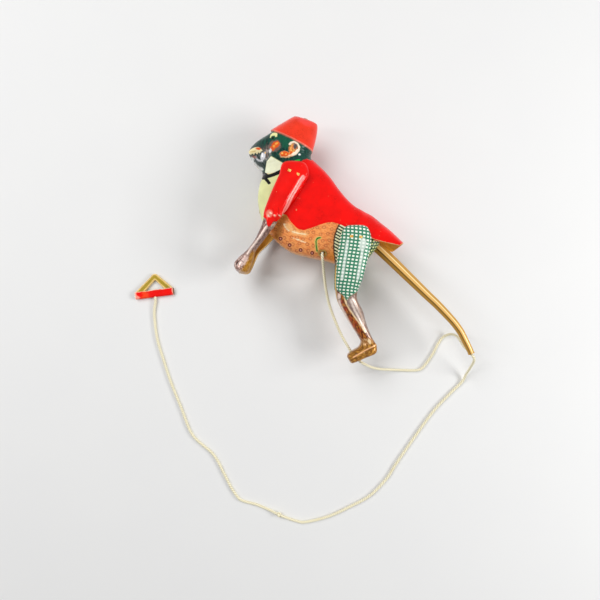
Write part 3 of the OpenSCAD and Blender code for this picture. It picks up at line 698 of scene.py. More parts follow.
def rounded_block(half: Sequence[float], square: float, count: int) -> Array:
    """Points of a block with rounded edges.

    Each of the cosines and sines of latitude and longitude is raised to a small power with its sign
    kept, and multiplied by half a side.

    Args:
        half: Half the length of each side.
        square: The power.
        count: Points from pole to pole, and half as many as round.

    Returns:
        A grid whose rows are rings.
    """
    def stiff(values: Array) -> Array:
        """The values' signs times their sizes to the power."""
        return np.sign(values) * np.abs(values) ** square

    lat = np.linspace(-np.pi / 2, np.pi / 2, count)[:, None]
    lon = np.linspace(-np.pi, np.pi, 2 * count, endpoint=False)[None, :]
    return np.stack([half[0] * stiff(np.cos(lat)) * stiff(np.cos(lon)),
                     half[1] * stiff(np.cos(lat)) * stiff(np.sin(lon)),
                     half[2] * stiff(np.sin(lat)) * np.ones_like(lon)], axis=-1)


# Finishes

# Width of a column of checks, height of a check, and size of a cell, in the chart
CHECK_MM = 2.6
CHECK_ROW_MM = 2.3
CELL_MM = 2.3
# Distance of two stripes, in print units
STRIPE_UNITS = 3.3
VARNISH_IOR = 1.36


def tint(colour: Sequence[float], gain: float = 1.0) -> tuple[float, float, float, float]:
    """A screen colour from 0 to 255 as linear light with full cover.

    Each part c of 1 becomes c / 12.92 up to 0.04045, and ((c + 0.055) / 1.055)^2.4 above it.

    Args:
        colour: The colour.
        gain: What its light is multiplied by, at most up to 1.

    Returns:
        Red, green, blue and cover.
    """
    parts = [c / 255 for c in colour]
    light = [p / 12.92 if p <= 0.04045 else ((p + 0.055) / 1.055) ** 2.4 for p in parts]
    red, green, blue = (min(part * gain, 1.0) for part in light)
    return red, green, blue, 1.0


Number = Union["Sock", float]
Inputs = dict[Union[int, str], object]


class Sock:
    """An output of a shader node that is reckoned with as a number is."""

    def __init__(self, paint: "Paint", socket: bpy.types.NodeSocket) -> None:
        """Wraps a socket of a paint's node tree."""
        self.paint = paint
        self.socket = socket

    def _maths(self, operation: str, first: Number, second: Number = 0.0) -> "Sock":
        """One step of arithmetic on two values."""
        return self.paint.out("ShaderNodeMath", 0, {0: first, 1: second}, operation=operation)

    def __add__(self, other: Number) -> "Sock":
        """The sum with another value."""
        return self._maths("ADD", self, other)

    __radd__ = __add__

    def __sub__(self, other: Number) -> "Sock":
        """This value less another one."""
        return self._maths("SUBTRACT", self, other)

    def __rsub__(self, other: Number) -> "Sock":
        """Another value less this one."""
        return self._maths("SUBTRACT", other, self)

    def __mul__(self, other: Number) -> "Sock":
        """The product with another value."""
        return self._maths("MULTIPLY", self, other)

    __rmul__ = __mul__

    def __truediv__(self, other: Number) -> "Sock":
        """This value divided by another one."""
        return self._maths("DIVIDE", self, other)

    def __abs__(self) -> "Sock":
        """The value's size without its sign."""
        return self._maths("ABSOLUTE", self)

    def fraction(self) -> "Sock":
        """What is left of the value after its whole part."""
        return self._maths("FRACT", self)

    def cosine(self) -> "Sock":
        """The cosine of the value in radians."""
        return self._maths("COSINE", self)

    def most(self, other: Number) -> "Sock":
        """The larger of two values."""
        return self._maths("MAXIMUM", self, other)

    def step(self, low: float, high: float) -> "Sock":
        """A smooth step from 0 at low to 1 at high."""
        return self.paint.out("ShaderNodeMapRange", 0, {0: self, 1: low, 2: high},
                              interpolation_type="SMOOTHSTEP")

    def pulse(self, share: float, blur: float) -> "Sock":
        """1 in the middle share of each whole step of the value, and 0 near its ends."""
        return 1 - abs(self.fraction() - 0.5).step(share / 2 - blur, share / 2 + blur)


class Paint:
    """The node tree of one material, or of the sky."""

    def __init__(self, name: str, sky: Optional[bpy.types.World] = None) -> None:
        """Starts an empty tree.

        Args:
            name: The material's name.
            sky: The world that the tree is for, if it isn't for a material.
        """
        self.owner = sky or bpy.data.materials.new(name)
        self.owner.use_nodes = True
        self.tree = self.owner.node_tree
        self.tree.nodes.clear()

    def node(self, kind: str, inputs: Optional[Inputs] = None, **settings: object) -> bpy.types.Node:
        """Makes a node.

        Args:
            kind: The name of the node type.
            inputs: Values or outputs for the node's inputs, by name or number.
            **settings: The node's own settings.

        Returns:
            The node.
        """
        made = self.tree.nodes.new(kind)
        for key, value in settings.items():
            setattr(made, key, value)
        for key, value in (inputs or {}).items():
            if isinstance(value, Sock):
                self.tree.links.new(value.socket, made.inputs[key])
            else:
                made.inputs[key].default_value = value
        return made

    def out(self, kind: str, output: Union[int, str], inputs: Optional[Inputs] = None,
            **settings: object) -> Sock:
        """One output of a new node."""
        return Sock(self, self.node(kind, inputs, **settings).outputs[output])

    def mark(self, name: str) -> Sock:
        """A mark of the mesh."""
        return self.out("ShaderNodeAttribute", "Fac", attribute_name=name)

    def chart(self) -> tuple[Sock, Sock]:
        """The chart place in millimetres, or in turns and millimetres on a tube.

        Returns:
            The place across and the place along.
        """
        place = self.out("ShaderNodeUVMap", 0, uv_map="Chart")
        parts = self.node("ShaderNodeSeparateXYZ", {0: place})
        return Sock(self, parts.outputs[0]) * CHART_MM, Sock(self, parts.outputs[1]) * CHART_MM

    def noise(self, size_mm: float, detail: float = 2.0) -> Sock:
        """Soft noise from 0 to 1 round 0.5, whose blots are about the given size."""
        place = self.out("ShaderNodeTexCoord", "Object")
        return self.out("ShaderNodeTexNoise", 0,
                        {"Vector": place, "Scale": 1 / METRES / size_mm, "Detail": detail})

    def stretched(self, across_mm: float, along_mm: float, detail: float = 2.0) -> Sock:
        """Noise in the chart.

        Args:
            across_mm: The size of its blots across.
            along_mm: Their size along.
            detail: How fine its smallest blots are.

        Returns:
            The noise, from 0 to 1.
        """
        u, v = self.chart()
        place = self.out("ShaderNodeCombineXYZ", 0, {0: u / across_mm, 1: v / along_mm, 2: 0.0})
        return self.out("ShaderNodeTexNoise", 0, {"Vector": place, "Scale": 1.0, "Detail": detail})

    def blend(self, share: Number, first: object, second: object) -> Sock:
        """A colour between two others."""
        return self.out("ShaderNodeMix", 2, {0: share, 6: first, 7: second}, data_type="RGBA")

    def between(self, share: Number, first: Number, second: Number) -> Sock:
        """A number between two others."""
        return self.out("ShaderNodeMix", 0, {0: share, 2: first, 3: second}, data_type="FLOAT")

    def bump(self, height: Sock, depth_mm: float) -> Sock:
        """A bent normal from a height of 0 to 1 and its depth."""
        return self.out("ShaderNodeBump", 0,
                        {"Height": height, "Strength": 1.0, "Distance": depth_mm * METRES})

    def finish(self, **inputs: object) -> bpy.types.Material:
        """Ends the material with a Principled shader.

        Args:
            **inputs: The shader's inputs, named with _ for a space.

        Returns:
            The material.
        """
        named = {key.replace("_", " "): value for key, value in inputs.items()}
        shader = self.out("ShaderNodeBsdfPrincipled", 0, named)
        self.node("ShaderNodeOutputMaterial", {"Surface": shader})
        return self.owner


@dataclass(frozen=True)
class Layer:
    """One printed layer, some of which are painted highlights and painted shade: where its mark is above 0 it
    covers what lies under it.

    forms are what it prints, soft the width of its edge in units of the mark, strength its cover, metal
    how much of the tin shines through, second the other colour of its pattern, waver how far its edge
    strays.
    """

    mark: str
    forms: Sequence[Union[Area, Stroke, Oval, Spots]]
    colour: Colour
    soft: float = 0.3
    strength: float = 1.0
    metal: float = 0.0
    pattern: Pattern = Pattern.PLAIN
    second: Colour = (0, 0, 0)
    waver: float = 0.25

    def depth(self, at: Array) -> Array:
        """The greatest depth of each place in the layer's forms, or well inside where it has none."""
        return np.max([form.depth(at) for form in self.forms] or [np.full(len(at), WELL_IN)], axis=0)

    def cover(self, paint: Paint, stray: Sock) -> Sock:
        """How much the layer covers, with an edge that strays by a noise."""
        return (paint.mark(self.mark) + stray * self.waver).step(-self.soft, self.soft) * self.strength

    def tone(self, paint: Paint, cloud: Sock) -> Sock:
        """The layer's colour all over its area.

        Args:
            paint: The material's node tree.
            cloud: Soft noise that shades a plain colour.

        Returns:
            The colour.
        """
        if self.pattern is Pattern.PLAIN:
            return paint.blend(cloud.step(0.3, 0.7), tint(self.colour, 0.9), tint(self.colour, 1.06))
        share = {Pattern.CHECKS: self._checks, Pattern.STRIPES: self._stripes, Pattern.CELLS: self._cells,
                 Pattern.FUR: self._hair}[self.pattern]
        ground = self._lined(paint) if self.pattern is Pattern.CHECKS else tint(self.colour)
        return paint.blend(share(paint), ground, tint(self.second))

    @staticmethod
    def _stripes(paint: Paint) -> Sock:
        """Slanting stripes as the camera sees them."""
        return ((paint.mark("seen_y") - paint.mark("seen_x") * 0.55) / STRIPE_UNITS).pulse(0.52, 0.08)

    @staticmethod
    def _cells(paint: Paint) -> Sock:
        """Square cells in the chart."""
        u, v = paint.chart()
        return (u / CELL_MM).pulse(0.54, 0.1) * (v / CELL_MM).pulse(0.54, 0.1)

    @staticmethod
    def _hair(paint: Paint) -> Sock:
        """Short hair along the chart."""
        return paint.stretched(1.1, 2.6, 3.0).step(0.44, 0.6)

    @staticmethod
    def _checks(paint: Paint) -> Sock:
        """Cells in columns along the leg, whose rows climb a little."""
        u, v = paint.chart()
        return (u / CHECK_MM + 0.5).pulse(0.58, 0.08) * ((v - u * 0.12) / CHECK_ROW_MM).pulse(0.52, 0.09)

    def _lined(self, paint: Paint) -> Sock:
        """The ground of the checks, with a thin greyish line between two columns."""
        line = 1 - (paint.chart()[0] / CHECK_MM + 0.5).pulse(0.86, 0.06)
        return paint.blend(line * 0.5, tint(self.colour), tint((96, 150, 128)))


@dataclass(frozen=True)
class PrintedTin:
    """Lithographed tinplate: layers on a ground colour under a gloss varnish, rubbed at its rims."""

    name: str
    ground: Colour
    layers: tuple[Layer, ...]
    ground_metal: float = 0.15
    worn: Colour = (214, 184, 130)
    gloss: float = 0.2

    def material(self) -> bpy.types.Material:
        """Makes the material.

        Returns:
            The material.
        """
        paint = Paint(self.name)
        cloud = paint.noise(9.0, 4.0)
        grit = paint.noise(0.9, 3.0)
        colour: Sock = paint.blend(cloud, tint(self.ground, 0.86), tint(self.ground, 1.1))
        metal: Number = self.ground_metal
        stray = (paint.noise(1.5, 3.0) - 0.5) * 4
        for layer in self.layers:
            cover = layer.cover(paint, stray)
            colour = paint.blend(cover, colour, layer.tone(paint, cloud))
            metal = paint.between(cover, metal, layer.metal)
        rubbed = 1 - (paint.mark("edge") + (grit - 0.5) * 1.1).step(0.1, 0.55)
        chipped = (paint.noise(2.2, 5.0)).step(0.70, 0.74) * 0.5
        bare = rubbed.most(chipped)
        colour = paint.blend(bare, colour, tint(self.worn))
        metal = paint.between(bare, metal, 0.85)
        rough = self.gloss + cloud * 0.12 + grit * 0.06 + bare * 0.2
        dents = paint.noise(14.0, 2.0) * 0.8 + grit * 0.03
        return paint.finish(Base_Color=colour, Metallic=metal, Roughness=rough, Coat_Weight=0.42,
                            Coat_Roughness=0.07, Coat_IOR=VARNISH_IOR, Specular_IOR_Level=0.05,
                            Normal=paint.bump(dents, 0.28))


@dataclass(frozen=True)
class GoldLacquer:
    """Transparent gold lacquer on bare tin, with draw lines along the strip and darker blots."""

    name: str
    light: Colour
    dark: Colour
    draw_mm: float = 1.2
    rough: float = 0.3
    metal: float = 0.85

    def material(self) -> bpy.types.Material:
        """Makes the material.

        Returns:
            The material.
        """
        paint = Paint(self.name)
        drawn = paint.stretched(0.35, self.draw_mm * 8, 3.0)
        cloud = paint.noise(6.0, 4.0)
        share = (drawn * 0.6 + cloud * 0.6).step(0.35, 0.85)
        colour = paint.blend(share, tint(self.dark), tint(self.light))
        return paint.finish(Base_Color=colour, Metallic=self.metal, Roughness=self.rough + cloud * 0.16,
                            Normal=paint.bump(drawn * 0.5 + paint.noise(11.0) * 0.8, 0.12),
                            Coat_Weight=0.35, Coat_Roughness=0.12, Coat_IOR=VARNISH_IOR,
                            Specular_IOR_Level=0.15)


@dataclass(frozen=True)
class BandedGold:
    """The tail's lacquered strip: bands along it, a dark seam line and a painted highlight along its ridge.

    The mark turn is the angle in degrees from straight up, falling from 23 at one edge of the strip, on
    the head's side, over 0 at the top and -180 at the bottom to -331 at the other edge.
    """

    name: str

    def material(self) -> bpy.types.Material:
        """Makes the material.

        Returns:
            The material.
        """
        paint = Paint(self.name)
        turn = paint.mark("turn")
        cloud = paint.noise(7.0, 4.0)
        fine = paint.stretched(0.3, 14.0, 3.0)
        shaky = turn + (cloud - 0.5) * 6
        colour = paint.blend(fine * 0.7, tint((244, 196, 118)), tint((222, 166, 78)))
        colour = paint.blend((-150 - shaky).step(0, 30), colour, tint((190, 142, 56)))
        colour = paint.blend((-318 - shaky).step(0, 3), colour, tint((164, 118, 40)))
        front = (0 - shaky).step(16, 20) * (shaky + 150).step(-30, 0)
        colour = paint.blend(front, colour, tint((200, 150, 66)))
        rims = turn.step(21.5, 23).most((0 - turn).step(328.8, 330.5))
        colour = paint.blend(rims, colour, tint((72, 48, 18)))
        # Painted highlight: a pale band along the ridge near the top of the strip.
        colour = paint.blend(1 - abs(turn + 12).step(2.5, 7.0), colour, tint((253, 236, 184)))
        colour = paint.blend(cloud.step(0.62, 0.75) * 0.3, colour, tint((130, 96, 40)))
        return paint.finish(Base_Color=colour, Metallic=0.25, Roughness=0.3 + cloud * 0.16,
                            Normal=paint.bump(fine * 0.4 + paint.noise(9.0) * 0.8, 0.16),
                            Coat_Weight=0.4, Coat_Roughness=0.1, Coat_IOR=VARNISH_IOR, Specular_IOR_Level=0.2)


@dataclass(frozen=True)
class DrawnSteel:
    """Bare drawn or sheared metal, a little tarnished."""

    name: str
    light: Colour
    dark: Colour
    rough: float = 0.34
    metal: float = 1.0

    def material(self) -> bpy.types.Material:
        """Makes the material.

        Returns:
            The material.
        """
        paint = Paint(self.name)
        cloud = paint.noise(1.8, 4.0)
        colour = paint.blend(cloud.step(0.35, 0.68), tint(self.dark), tint(self.light))
        return paint.finish(Base_Color=colour, Metallic=self.metal, Roughness=self.rough + cloud * 0.2,
                            Normal=paint.bump(paint.noise(0.5, 2.0), 0.03))


@dataclass(frozen=True)
class TwistedCord:
    """Three strands of waxed cotton: darker in the grooves as painted shade, with fine fibres along each
    strand.
    """

    name: str
    light: Colour
    dark: Colour
    strands: int = 3

    def material(self) -> bpy.types.Material:
        """Makes the material.

        Returns:
            The material.
        """
        paint = Paint(self.name)
        turn, _ = paint.chart()
        crest = abs((turn * (math.pi * self.strands)).cosine())
        fibre = paint.noise(0.28, 3.0)
        soil = paint.noise(16.0, 3.0)
        # Painted shade: the grooves between the strands are darker than the crests.
        colour = paint.blend(crest.step(0.1, 0.85) * 0.8 + fibre * 0.2, tint(self.dark), tint(self.light))
        colour = paint.blend(soil.step(0.55, 0.75) * 0.3, colour, tint((220, 206, 160)))
        return paint.finish(Base_Color=colour, Roughness=0.78 + fibre * 0.15, Sheen_Weight=0.25,
                            Normal=paint.bump(fibre * 0.6 + crest * 0.4, 0.1))


# Print of the near side, painted highlights included: lines that several layers or reliefs share, in print
# points

COLLAR = [(271.1, 156.2), (285.5, 164.5), (279.7, 171.7), (264.8, 174), (266.8, 161.4)]
TROUSERS_EDGE = [
    (340.5, 222), (336.8, 229.5), (335.1, 234.6), (333.9, 240), (333.7, 246.1), (334.1, 253), (335.1, 259.5),
    (337.5, 282)]
JAW = [
    (255.6, 156.8), (256.4, 158.6), (257.9, 159.7), (259.8, 160.7), (261.4, 160.8), (263.2, 158.6),
    (264.2, 156.8), (264.8, 152.2)]
POCKET = [
    (317, 250.9), (316.2, 245), (316, 241.3), (316.7, 239.2), (317.9, 238), (320.3, 237.7)]
# Lines of the painted highlights on the vest's folds.
GLEAMS = [
    [(284.2, 224.2), (286, 228), (288.6, 230.6)], [(292.4, 231.2), (297, 233.2), (305.6, 234.3)],
    [(293.2, 238), (299.8, 240.4), (305.2, 242.4)]]
BUTTONS = [(280.6, 238.6), (289.7, 245), (300.7, 249.9), (312.2, 252.8)]
TROUSER_LEG = [
    (322, 210), (390, 210), (390, 262), (364, 284), (360.6, 286.6), (358.9, 289.6), (355.6, 292.9),
    (351.5, 295.3), (349.8, 296.2), (348.6, 298.6), (346.8, 300.6), (345.2, 298.4), (343.9, 296),
    (341.4, 294.2), (339, 291.6), (335, 287), (322, 281)]
SHIN_RIDGE = [
    (343.8, 296), (346.5, 303.5), (350.6, 310.6), (356, 318.6), (361, 325.9), (365.2, 332.7), (369, 339.2),
    (371.4, 343.4)]
FOOT_RIDGE = [(375.4, 345), (366, 350), (353.4, 357.4)]
CALF_FOLD = [
    (354.5, 296.5), (358, 306), (361, 316), (364.8, 326.6), (369.6, 336.5), (373.6, 343)]
SLEEVE_SEAM = [
    (302.9, 176.8), (299.6, 181.5), (296.9, 186.4), (292.4, 194.3), (286.4, 207), (282.9, 214.2)]
# Ridge of the forearm, along which its painted highlight lies
FOREARM_HIGHLIGHT_RIDGE = [(266.8, 226.4), (262.4, 233), (256.4, 241.4), (249.6, 250.4), (247.6, 254)]


def ring_places() -> Array:
    """Centres of the faint rings on the vest.

    Rows are 6 apart and columns 6.5 apart, shifted by half each row, and each ring strays by sines.

    Returns:
        One centre in each row.
    """
    row, column = np.meshgrid(np.arange(-2, 9), np.arange(-2, 12), indexing="ij")
    x = 279.0 + 6.5 * column + 3.25 * (row % 2) - 0.6 * row + 0.8 * np.sin(2.3 * row + 1.7 * column)
    y = 224.5 + 6.0 * row + 0.5 * column + 0.8 * np.sin(1.9 * row - 2.1 * column)
    return np.stack([x.ravel(), y.ravel()], axis=1)


# Layers of the print and of painted light and shade, the lower ones first. A layer whose mark a pressing
# gives row by row has no forms.

BLACK = (16, 14, 14)
BODY_LAYERS = (
    Layer("vest", [], (246, 164, 94), 0.3, 0.85, 0.1, Pattern.FUR, (226, 128, 72)),
    Layer("rings", [Spots(1.85, ring_places())], (172, 84, 52), 0.35, 0.68, waver=0.4),
    Layer("ring_beds", [Spots(1.15, ring_places())], (240, 156, 90), 0.3, 0.8, waver=0.4),
    # Painted shadow of the arm: a darker olive-brown band on the vest beside the sleeve.
    Layer("vest_shade", [Stroke(3.2, [(287, 215), (281.5, 224), (278, 237)])], (152, 98, 24), 2.6, 0.6,
        waver=0.6),
    # Painted highlights on the vest: a pale bed and brighter cream strokes over it.
    Layer("gleam_bed", [Oval((289, 227.4), (5.4, 3.4), 40), Stroke(1.8, GLEAMS[1])], (250, 206, 140), 1.8,
        0.6, waver=1.2),
    Layer("gleams", strokes(0.6, GLEAMS), (254, 232, 190), 0.6, 0.85, waver=0.7),
    Layer("belly_glow", [Oval((331, 257), (4.4, 5.5))], (244, 150, 36), 3.0, 0.55),
    # Painted rim light: a bright orange line along the belly's lower edge.
    Layer("belly_rim", [Stroke(1.3, [(277.6, 243.4), (285.6, 250), (295.2, 254), (307.9, 257.9),
        (319.4, 259.9), (333.7, 262.9)])], (255, 190, 116), 1.2, 0.65, waver=0.5),
    Layer("button_bed", [Spots(2.7, BUTTONS)], (246, 176, 112), 0.5, 0.6),
    Layer("button_ring", [Spots(2.0, BUTTONS)], (112, 10, 20), waver=0.1),
    Layer("button", [Spots(0.8, BUTTONS)], (240, 176, 150), waver=0.1),
    Layer("pocket_edge", [Stroke(1.5, POCKET)], (214, 206, 112), 0.5, 0.7, waver=0.3),
    Layer("pocket", [Stroke(0.8, POCKET)], (18, 116, 42), waver=0.06),
    Layer("trousers", [Area([*TROUSERS_EDGE, (392, 282), (392, 222)])], (26, 78, 48), pattern=Pattern.CELLS,
        second=(222, 230, 160)),
    Layer("hip_band", [Area([*TROUSERS_EDGE, (343, 282), (341.5, 256), (342.5, 240), (346, 222)])],
        (18, 48, 30), pattern=Pattern.STRIPES, second=(236, 236, 192)),
    Layer("trousers_edge", [Stroke(0.75, TROUSERS_EDGE)], (66, 34, 18), 0.3, 0.9),
    Layer("shirt", [Area([(245, 173.5), (264.8, 174.2), (279.7, 171.9), (286, 165), (288, 172), (282, 190),
        (278, 205), (280, 214), (284.5, 214.5), (276, 219.5), (267, 222), (258, 221.5), (245, 221)])],
        (228, 230, 168)),
    # Painted shade: a duller, greener band down the right side of the shirt.
    Layer("shirt_shade", [Stroke(4, [(284, 172), (274, 196), (271, 215)])], (206, 210, 128), 3.0, 0.6),
    Layer("coat", [Area([(285.1, 164.3), (290.2, 162.6), (295.3, 163.3), (299.4, 163.1), (303, 160),
        (306.8, 158.7), (310.1, 160), (335, 158), (440, 215), (440, 262), (401.7, 250), (393.5, 244.7),
        (383.9, 242.8), (374.4, 240.4), (367.7, 235.6), (364, 234.5), (357, 232.5), (350.8, 230),
        (345.7, 227), (339, 224.1), (332.3, 222.2), (326.5, 222.7), (318.9, 225.1), (311.2, 227.9),
        (303.6, 230.3), (297.8, 228.9), (291.1, 222.2), (286.4, 214.5), (280, 214), (278, 205), (282, 190),
        (288, 172)])], (240, 8, 3), metal=0.1),
    Layer("head", [Area([(225, 120), (335, 120), (335, 160.5), (310.1, 160), (306.8, 158.7), (303, 160),
        (299.4, 163.1), (295.3, 163.3), (290.2, 162.6), (285.5, 164.5), (271.1, 156.2), (266.8, 161.4),
        (264.8, 173.4), (258, 178), (235, 178)])], (12, 48, 42), pattern=Pattern.FUR, second=(26, 78, 64)),
    Layer("muzzle", [Oval((257, 158), (11, 13.5))], (84, 92, 90), 4.0, 0.9, 0.5, Pattern.FUR, (38, 48, 46),
        1.0),
    Layer("snout_side", [Oval((266.6, 152.4), (3.8, 6.8), 8)], (128, 110, 104), 2.6, 0.85, 0.3, Pattern.FUR,
        (64, 62, 58), 1.0),
    # Painted highlight: a brighter green patch over the top of the head.
    Layer("crown", [Oval((288, 141), (15, 6.5), 32)], (20, 92, 66), 5.0, 0.7, waver=2.0),
    # Painted highlight: a lighter patch on the edge of the head behind the ear.
    Layer("nape", [Oval((304, 156.5), (8, 3.6), -10)], (34, 72, 62), 3.0, 0.5),
    # Painted highlight: a white line along the lower edge of the chin.
    Layer("chin", [Stroke(1.5, [(252.2, 158.6), (253.2, 162), (255.6, 165.2), (258.2, 167.4),
        (261.4, 169.4)])], (238, 240, 238), 0.9, 0.95, 0.2, waver=0.9),
    Layer("jaw", [Stroke(0.75, JAW), Oval((262.6, 157), (1.9, 4.6), 12)], (220, 220, 224), 0.9, 0.95, 0.3,
        waver=0.8),
    Layer("lip_corner", [Oval((254.4, 157), (2.4, 1.2), 20)], (158, 92, 78), 0.8, 0.8, waver=0.6),
    Layer("collar", [Area(COLLAR)], (238, 241, 208), 0.25),
    Layer("collar_edge", [Stroke(0.32, COLLAR[:3])], (170, 178, 120), 0.3, 0.7),
    Layer("bow", [Area([(261.2, 173.4), (263.6, 172), (266.6, 173.2), (268.4, 174.6), (268.2, 177.4),
        (266.2, 179.4), (262.8, 179.9), (260.8, 178)]), Stroke(1.8, [(266.6, 176.9), (272, 175.4),
        (276.5, 173.6), (281.5, 171.3)])], BLACK, waver=0.12),
    Layer("bow_end", [Stroke(1.6, [(265.5, 178.6), (267.6, 180.8), (269.2, 183)])], BLACK, waver=0.12),
    # Painted highlight: a grey spot on the black knot of the bow.
    Layer("bow_light", [Oval((264.2, 175), (1.5, 1), -30)], (104, 102, 106), 0.8, 0.7, waver=0.5),
    Layer("eyelid", [Area([(270, 137.9), (270.6, 135), (272.9, 133), (275.7, 132.7), (277.4, 133.5),
        (277.4, 136.7), (275.7, 137.3), (274.6, 135.6), (272.9, 136.1), (271.1, 137.9)])], (238, 236, 168)),
    Layer("iris", [Oval((273.3, 138.3), (2.2, 2.2))], (22, 82, 54)),
    Layer("pupil", [Oval((273, 138.4), (1.05, 1.15))], (8, 14, 12)),
    Layer("cheek_rim", [Oval((274.9, 146), (6.4, 5.6), -30)], (150, 112, 104), 0.9, 0.55, waver=1.0),
    Layer("cheek", [Oval((275.6, 144.8), (4.6, 3.2), -38), Oval((272.8, 148.4), (2.6, 2.2))], (222, 88, 28),
        0.5, waver=0.9),
    # Painted highlights: yellow spots on the orange cheek.
    Layer("cheek_light", [Oval((276.6, 143.6), (1.7, 1), -35), Oval((274, 146.4), (1.4, 0.9), -50)],
        (250, 176, 74), 0.8, 0.85, waver=0.8),
    # Painted highlight: a white glint on the face below the cheek.
    Layer("glint", [Oval((270.3, 150.5), (1.3, 2.1), 15)], (224, 230, 228), 0.7, 0.8, waver=0.6),
    Layer("mouth", [Area([(248.5, 151.6), (251, 149.3), (254.5, 147.6), (258.5, 147), (262.5, 150.2),
        (259.6, 153.4), (258.4, 152.2), (257.2, 154.3), (255.6, 152.9), (254, 154.9), (252.6, 153.6),
        (251.2, 154.9), (249.3, 153.9)])], (242, 228, 178), 0.25),
    Layer("lip", [Oval((258.6, 148.9), (2.4, 1.2), 5)], (232, 92, 40), 0.6),
    Layer("gum", [Oval((253.6, 151.6), (3.2, 0.8), -12)], (206, 168, 96), 0.4, 0.6),
    Layer("ear_bed", [Oval((293, 149.2), (4.4, 6.3), 16)], (222, 132, 78), 1.0, 0.95, 0.0, Pattern.FUR,
        (180, 96, 50), 0.9),
    Layer("ear_folds", strokes(0.6, [[(292, 144.2), (290.9, 148.6), (292.2, 152.6)], [(294.2, 148.9),
        (293.4, 152.2), (290.2, 154.4)]]), (246, 190, 92), 0.5, 0.8, waver=0.6),
    Layer("ear_hole", [Oval((295.2, 146.2), (1.7, 2.9))], (84, 80, 82), 0.6, waver=0.5),
    Layer("ear", [Stroke(0.95, [(289.6, 144.4), (291.2, 142.6), (294.3, 142), (297.2, 143.6), (299.1, 147.2),
        (298.4, 150.8), (295.8, 153.8), (292.2, 155.2), (288.9, 156)]), Stroke(1.5, [(297.6, 150.4),
        (295.8, 152.8), (292.8, 154.2)])], (244, 228, 204), 0.4, waver=0.4),
    Layer("lobe_rim", [Oval((284.4, 154.3), (5, 3.4), -4), Stroke(0.9, [(286, 157), (291, 155.8)])],
        (240, 190, 140), 0.6, 0.85, waver=0.7),
    Layer("lobe", [Oval((284.3, 153.9), (4.4, 2.8), -4), Stroke(1.2, [(286, 154.4), (291.2, 152.4)])],
        (222, 92, 30), 0.5, waver=0.7),
    # Painted highlights: yellow spots on the ear's lobe.
    Layer("lobe_lights", [Spots(0.75, [(282.2, 153.4), (285.9, 154.3), (289.2, 153)])], (252, 196, 96), 0.5,
        0.9, waver=0.5),
    # Painted highlight: a white glint behind the ear.
    Layer("nape_glint", [Oval((299.5, 154.5), (1.1, 0.9))], (232, 236, 234), 0.5),
    Layer("leaf", [Oval((297.2, 160.6), (3.3, 1.1), -14)], (34, 168, 62), 0.4),
    Layer("fez", [], (242, 58, 32), metal=0.1),
    # Painted highlight: a pinker patch on the upper right of the fez.
    Layer("fez_glow", [Oval((305.6, 121.6), (8.5, 3.4), 24)], (255, 84, 84), 3.0, 0.5, waver=1.5),
    Layer("brim", [], (252, 176, 150), 0.5, 0.4, waver=0.2),
)
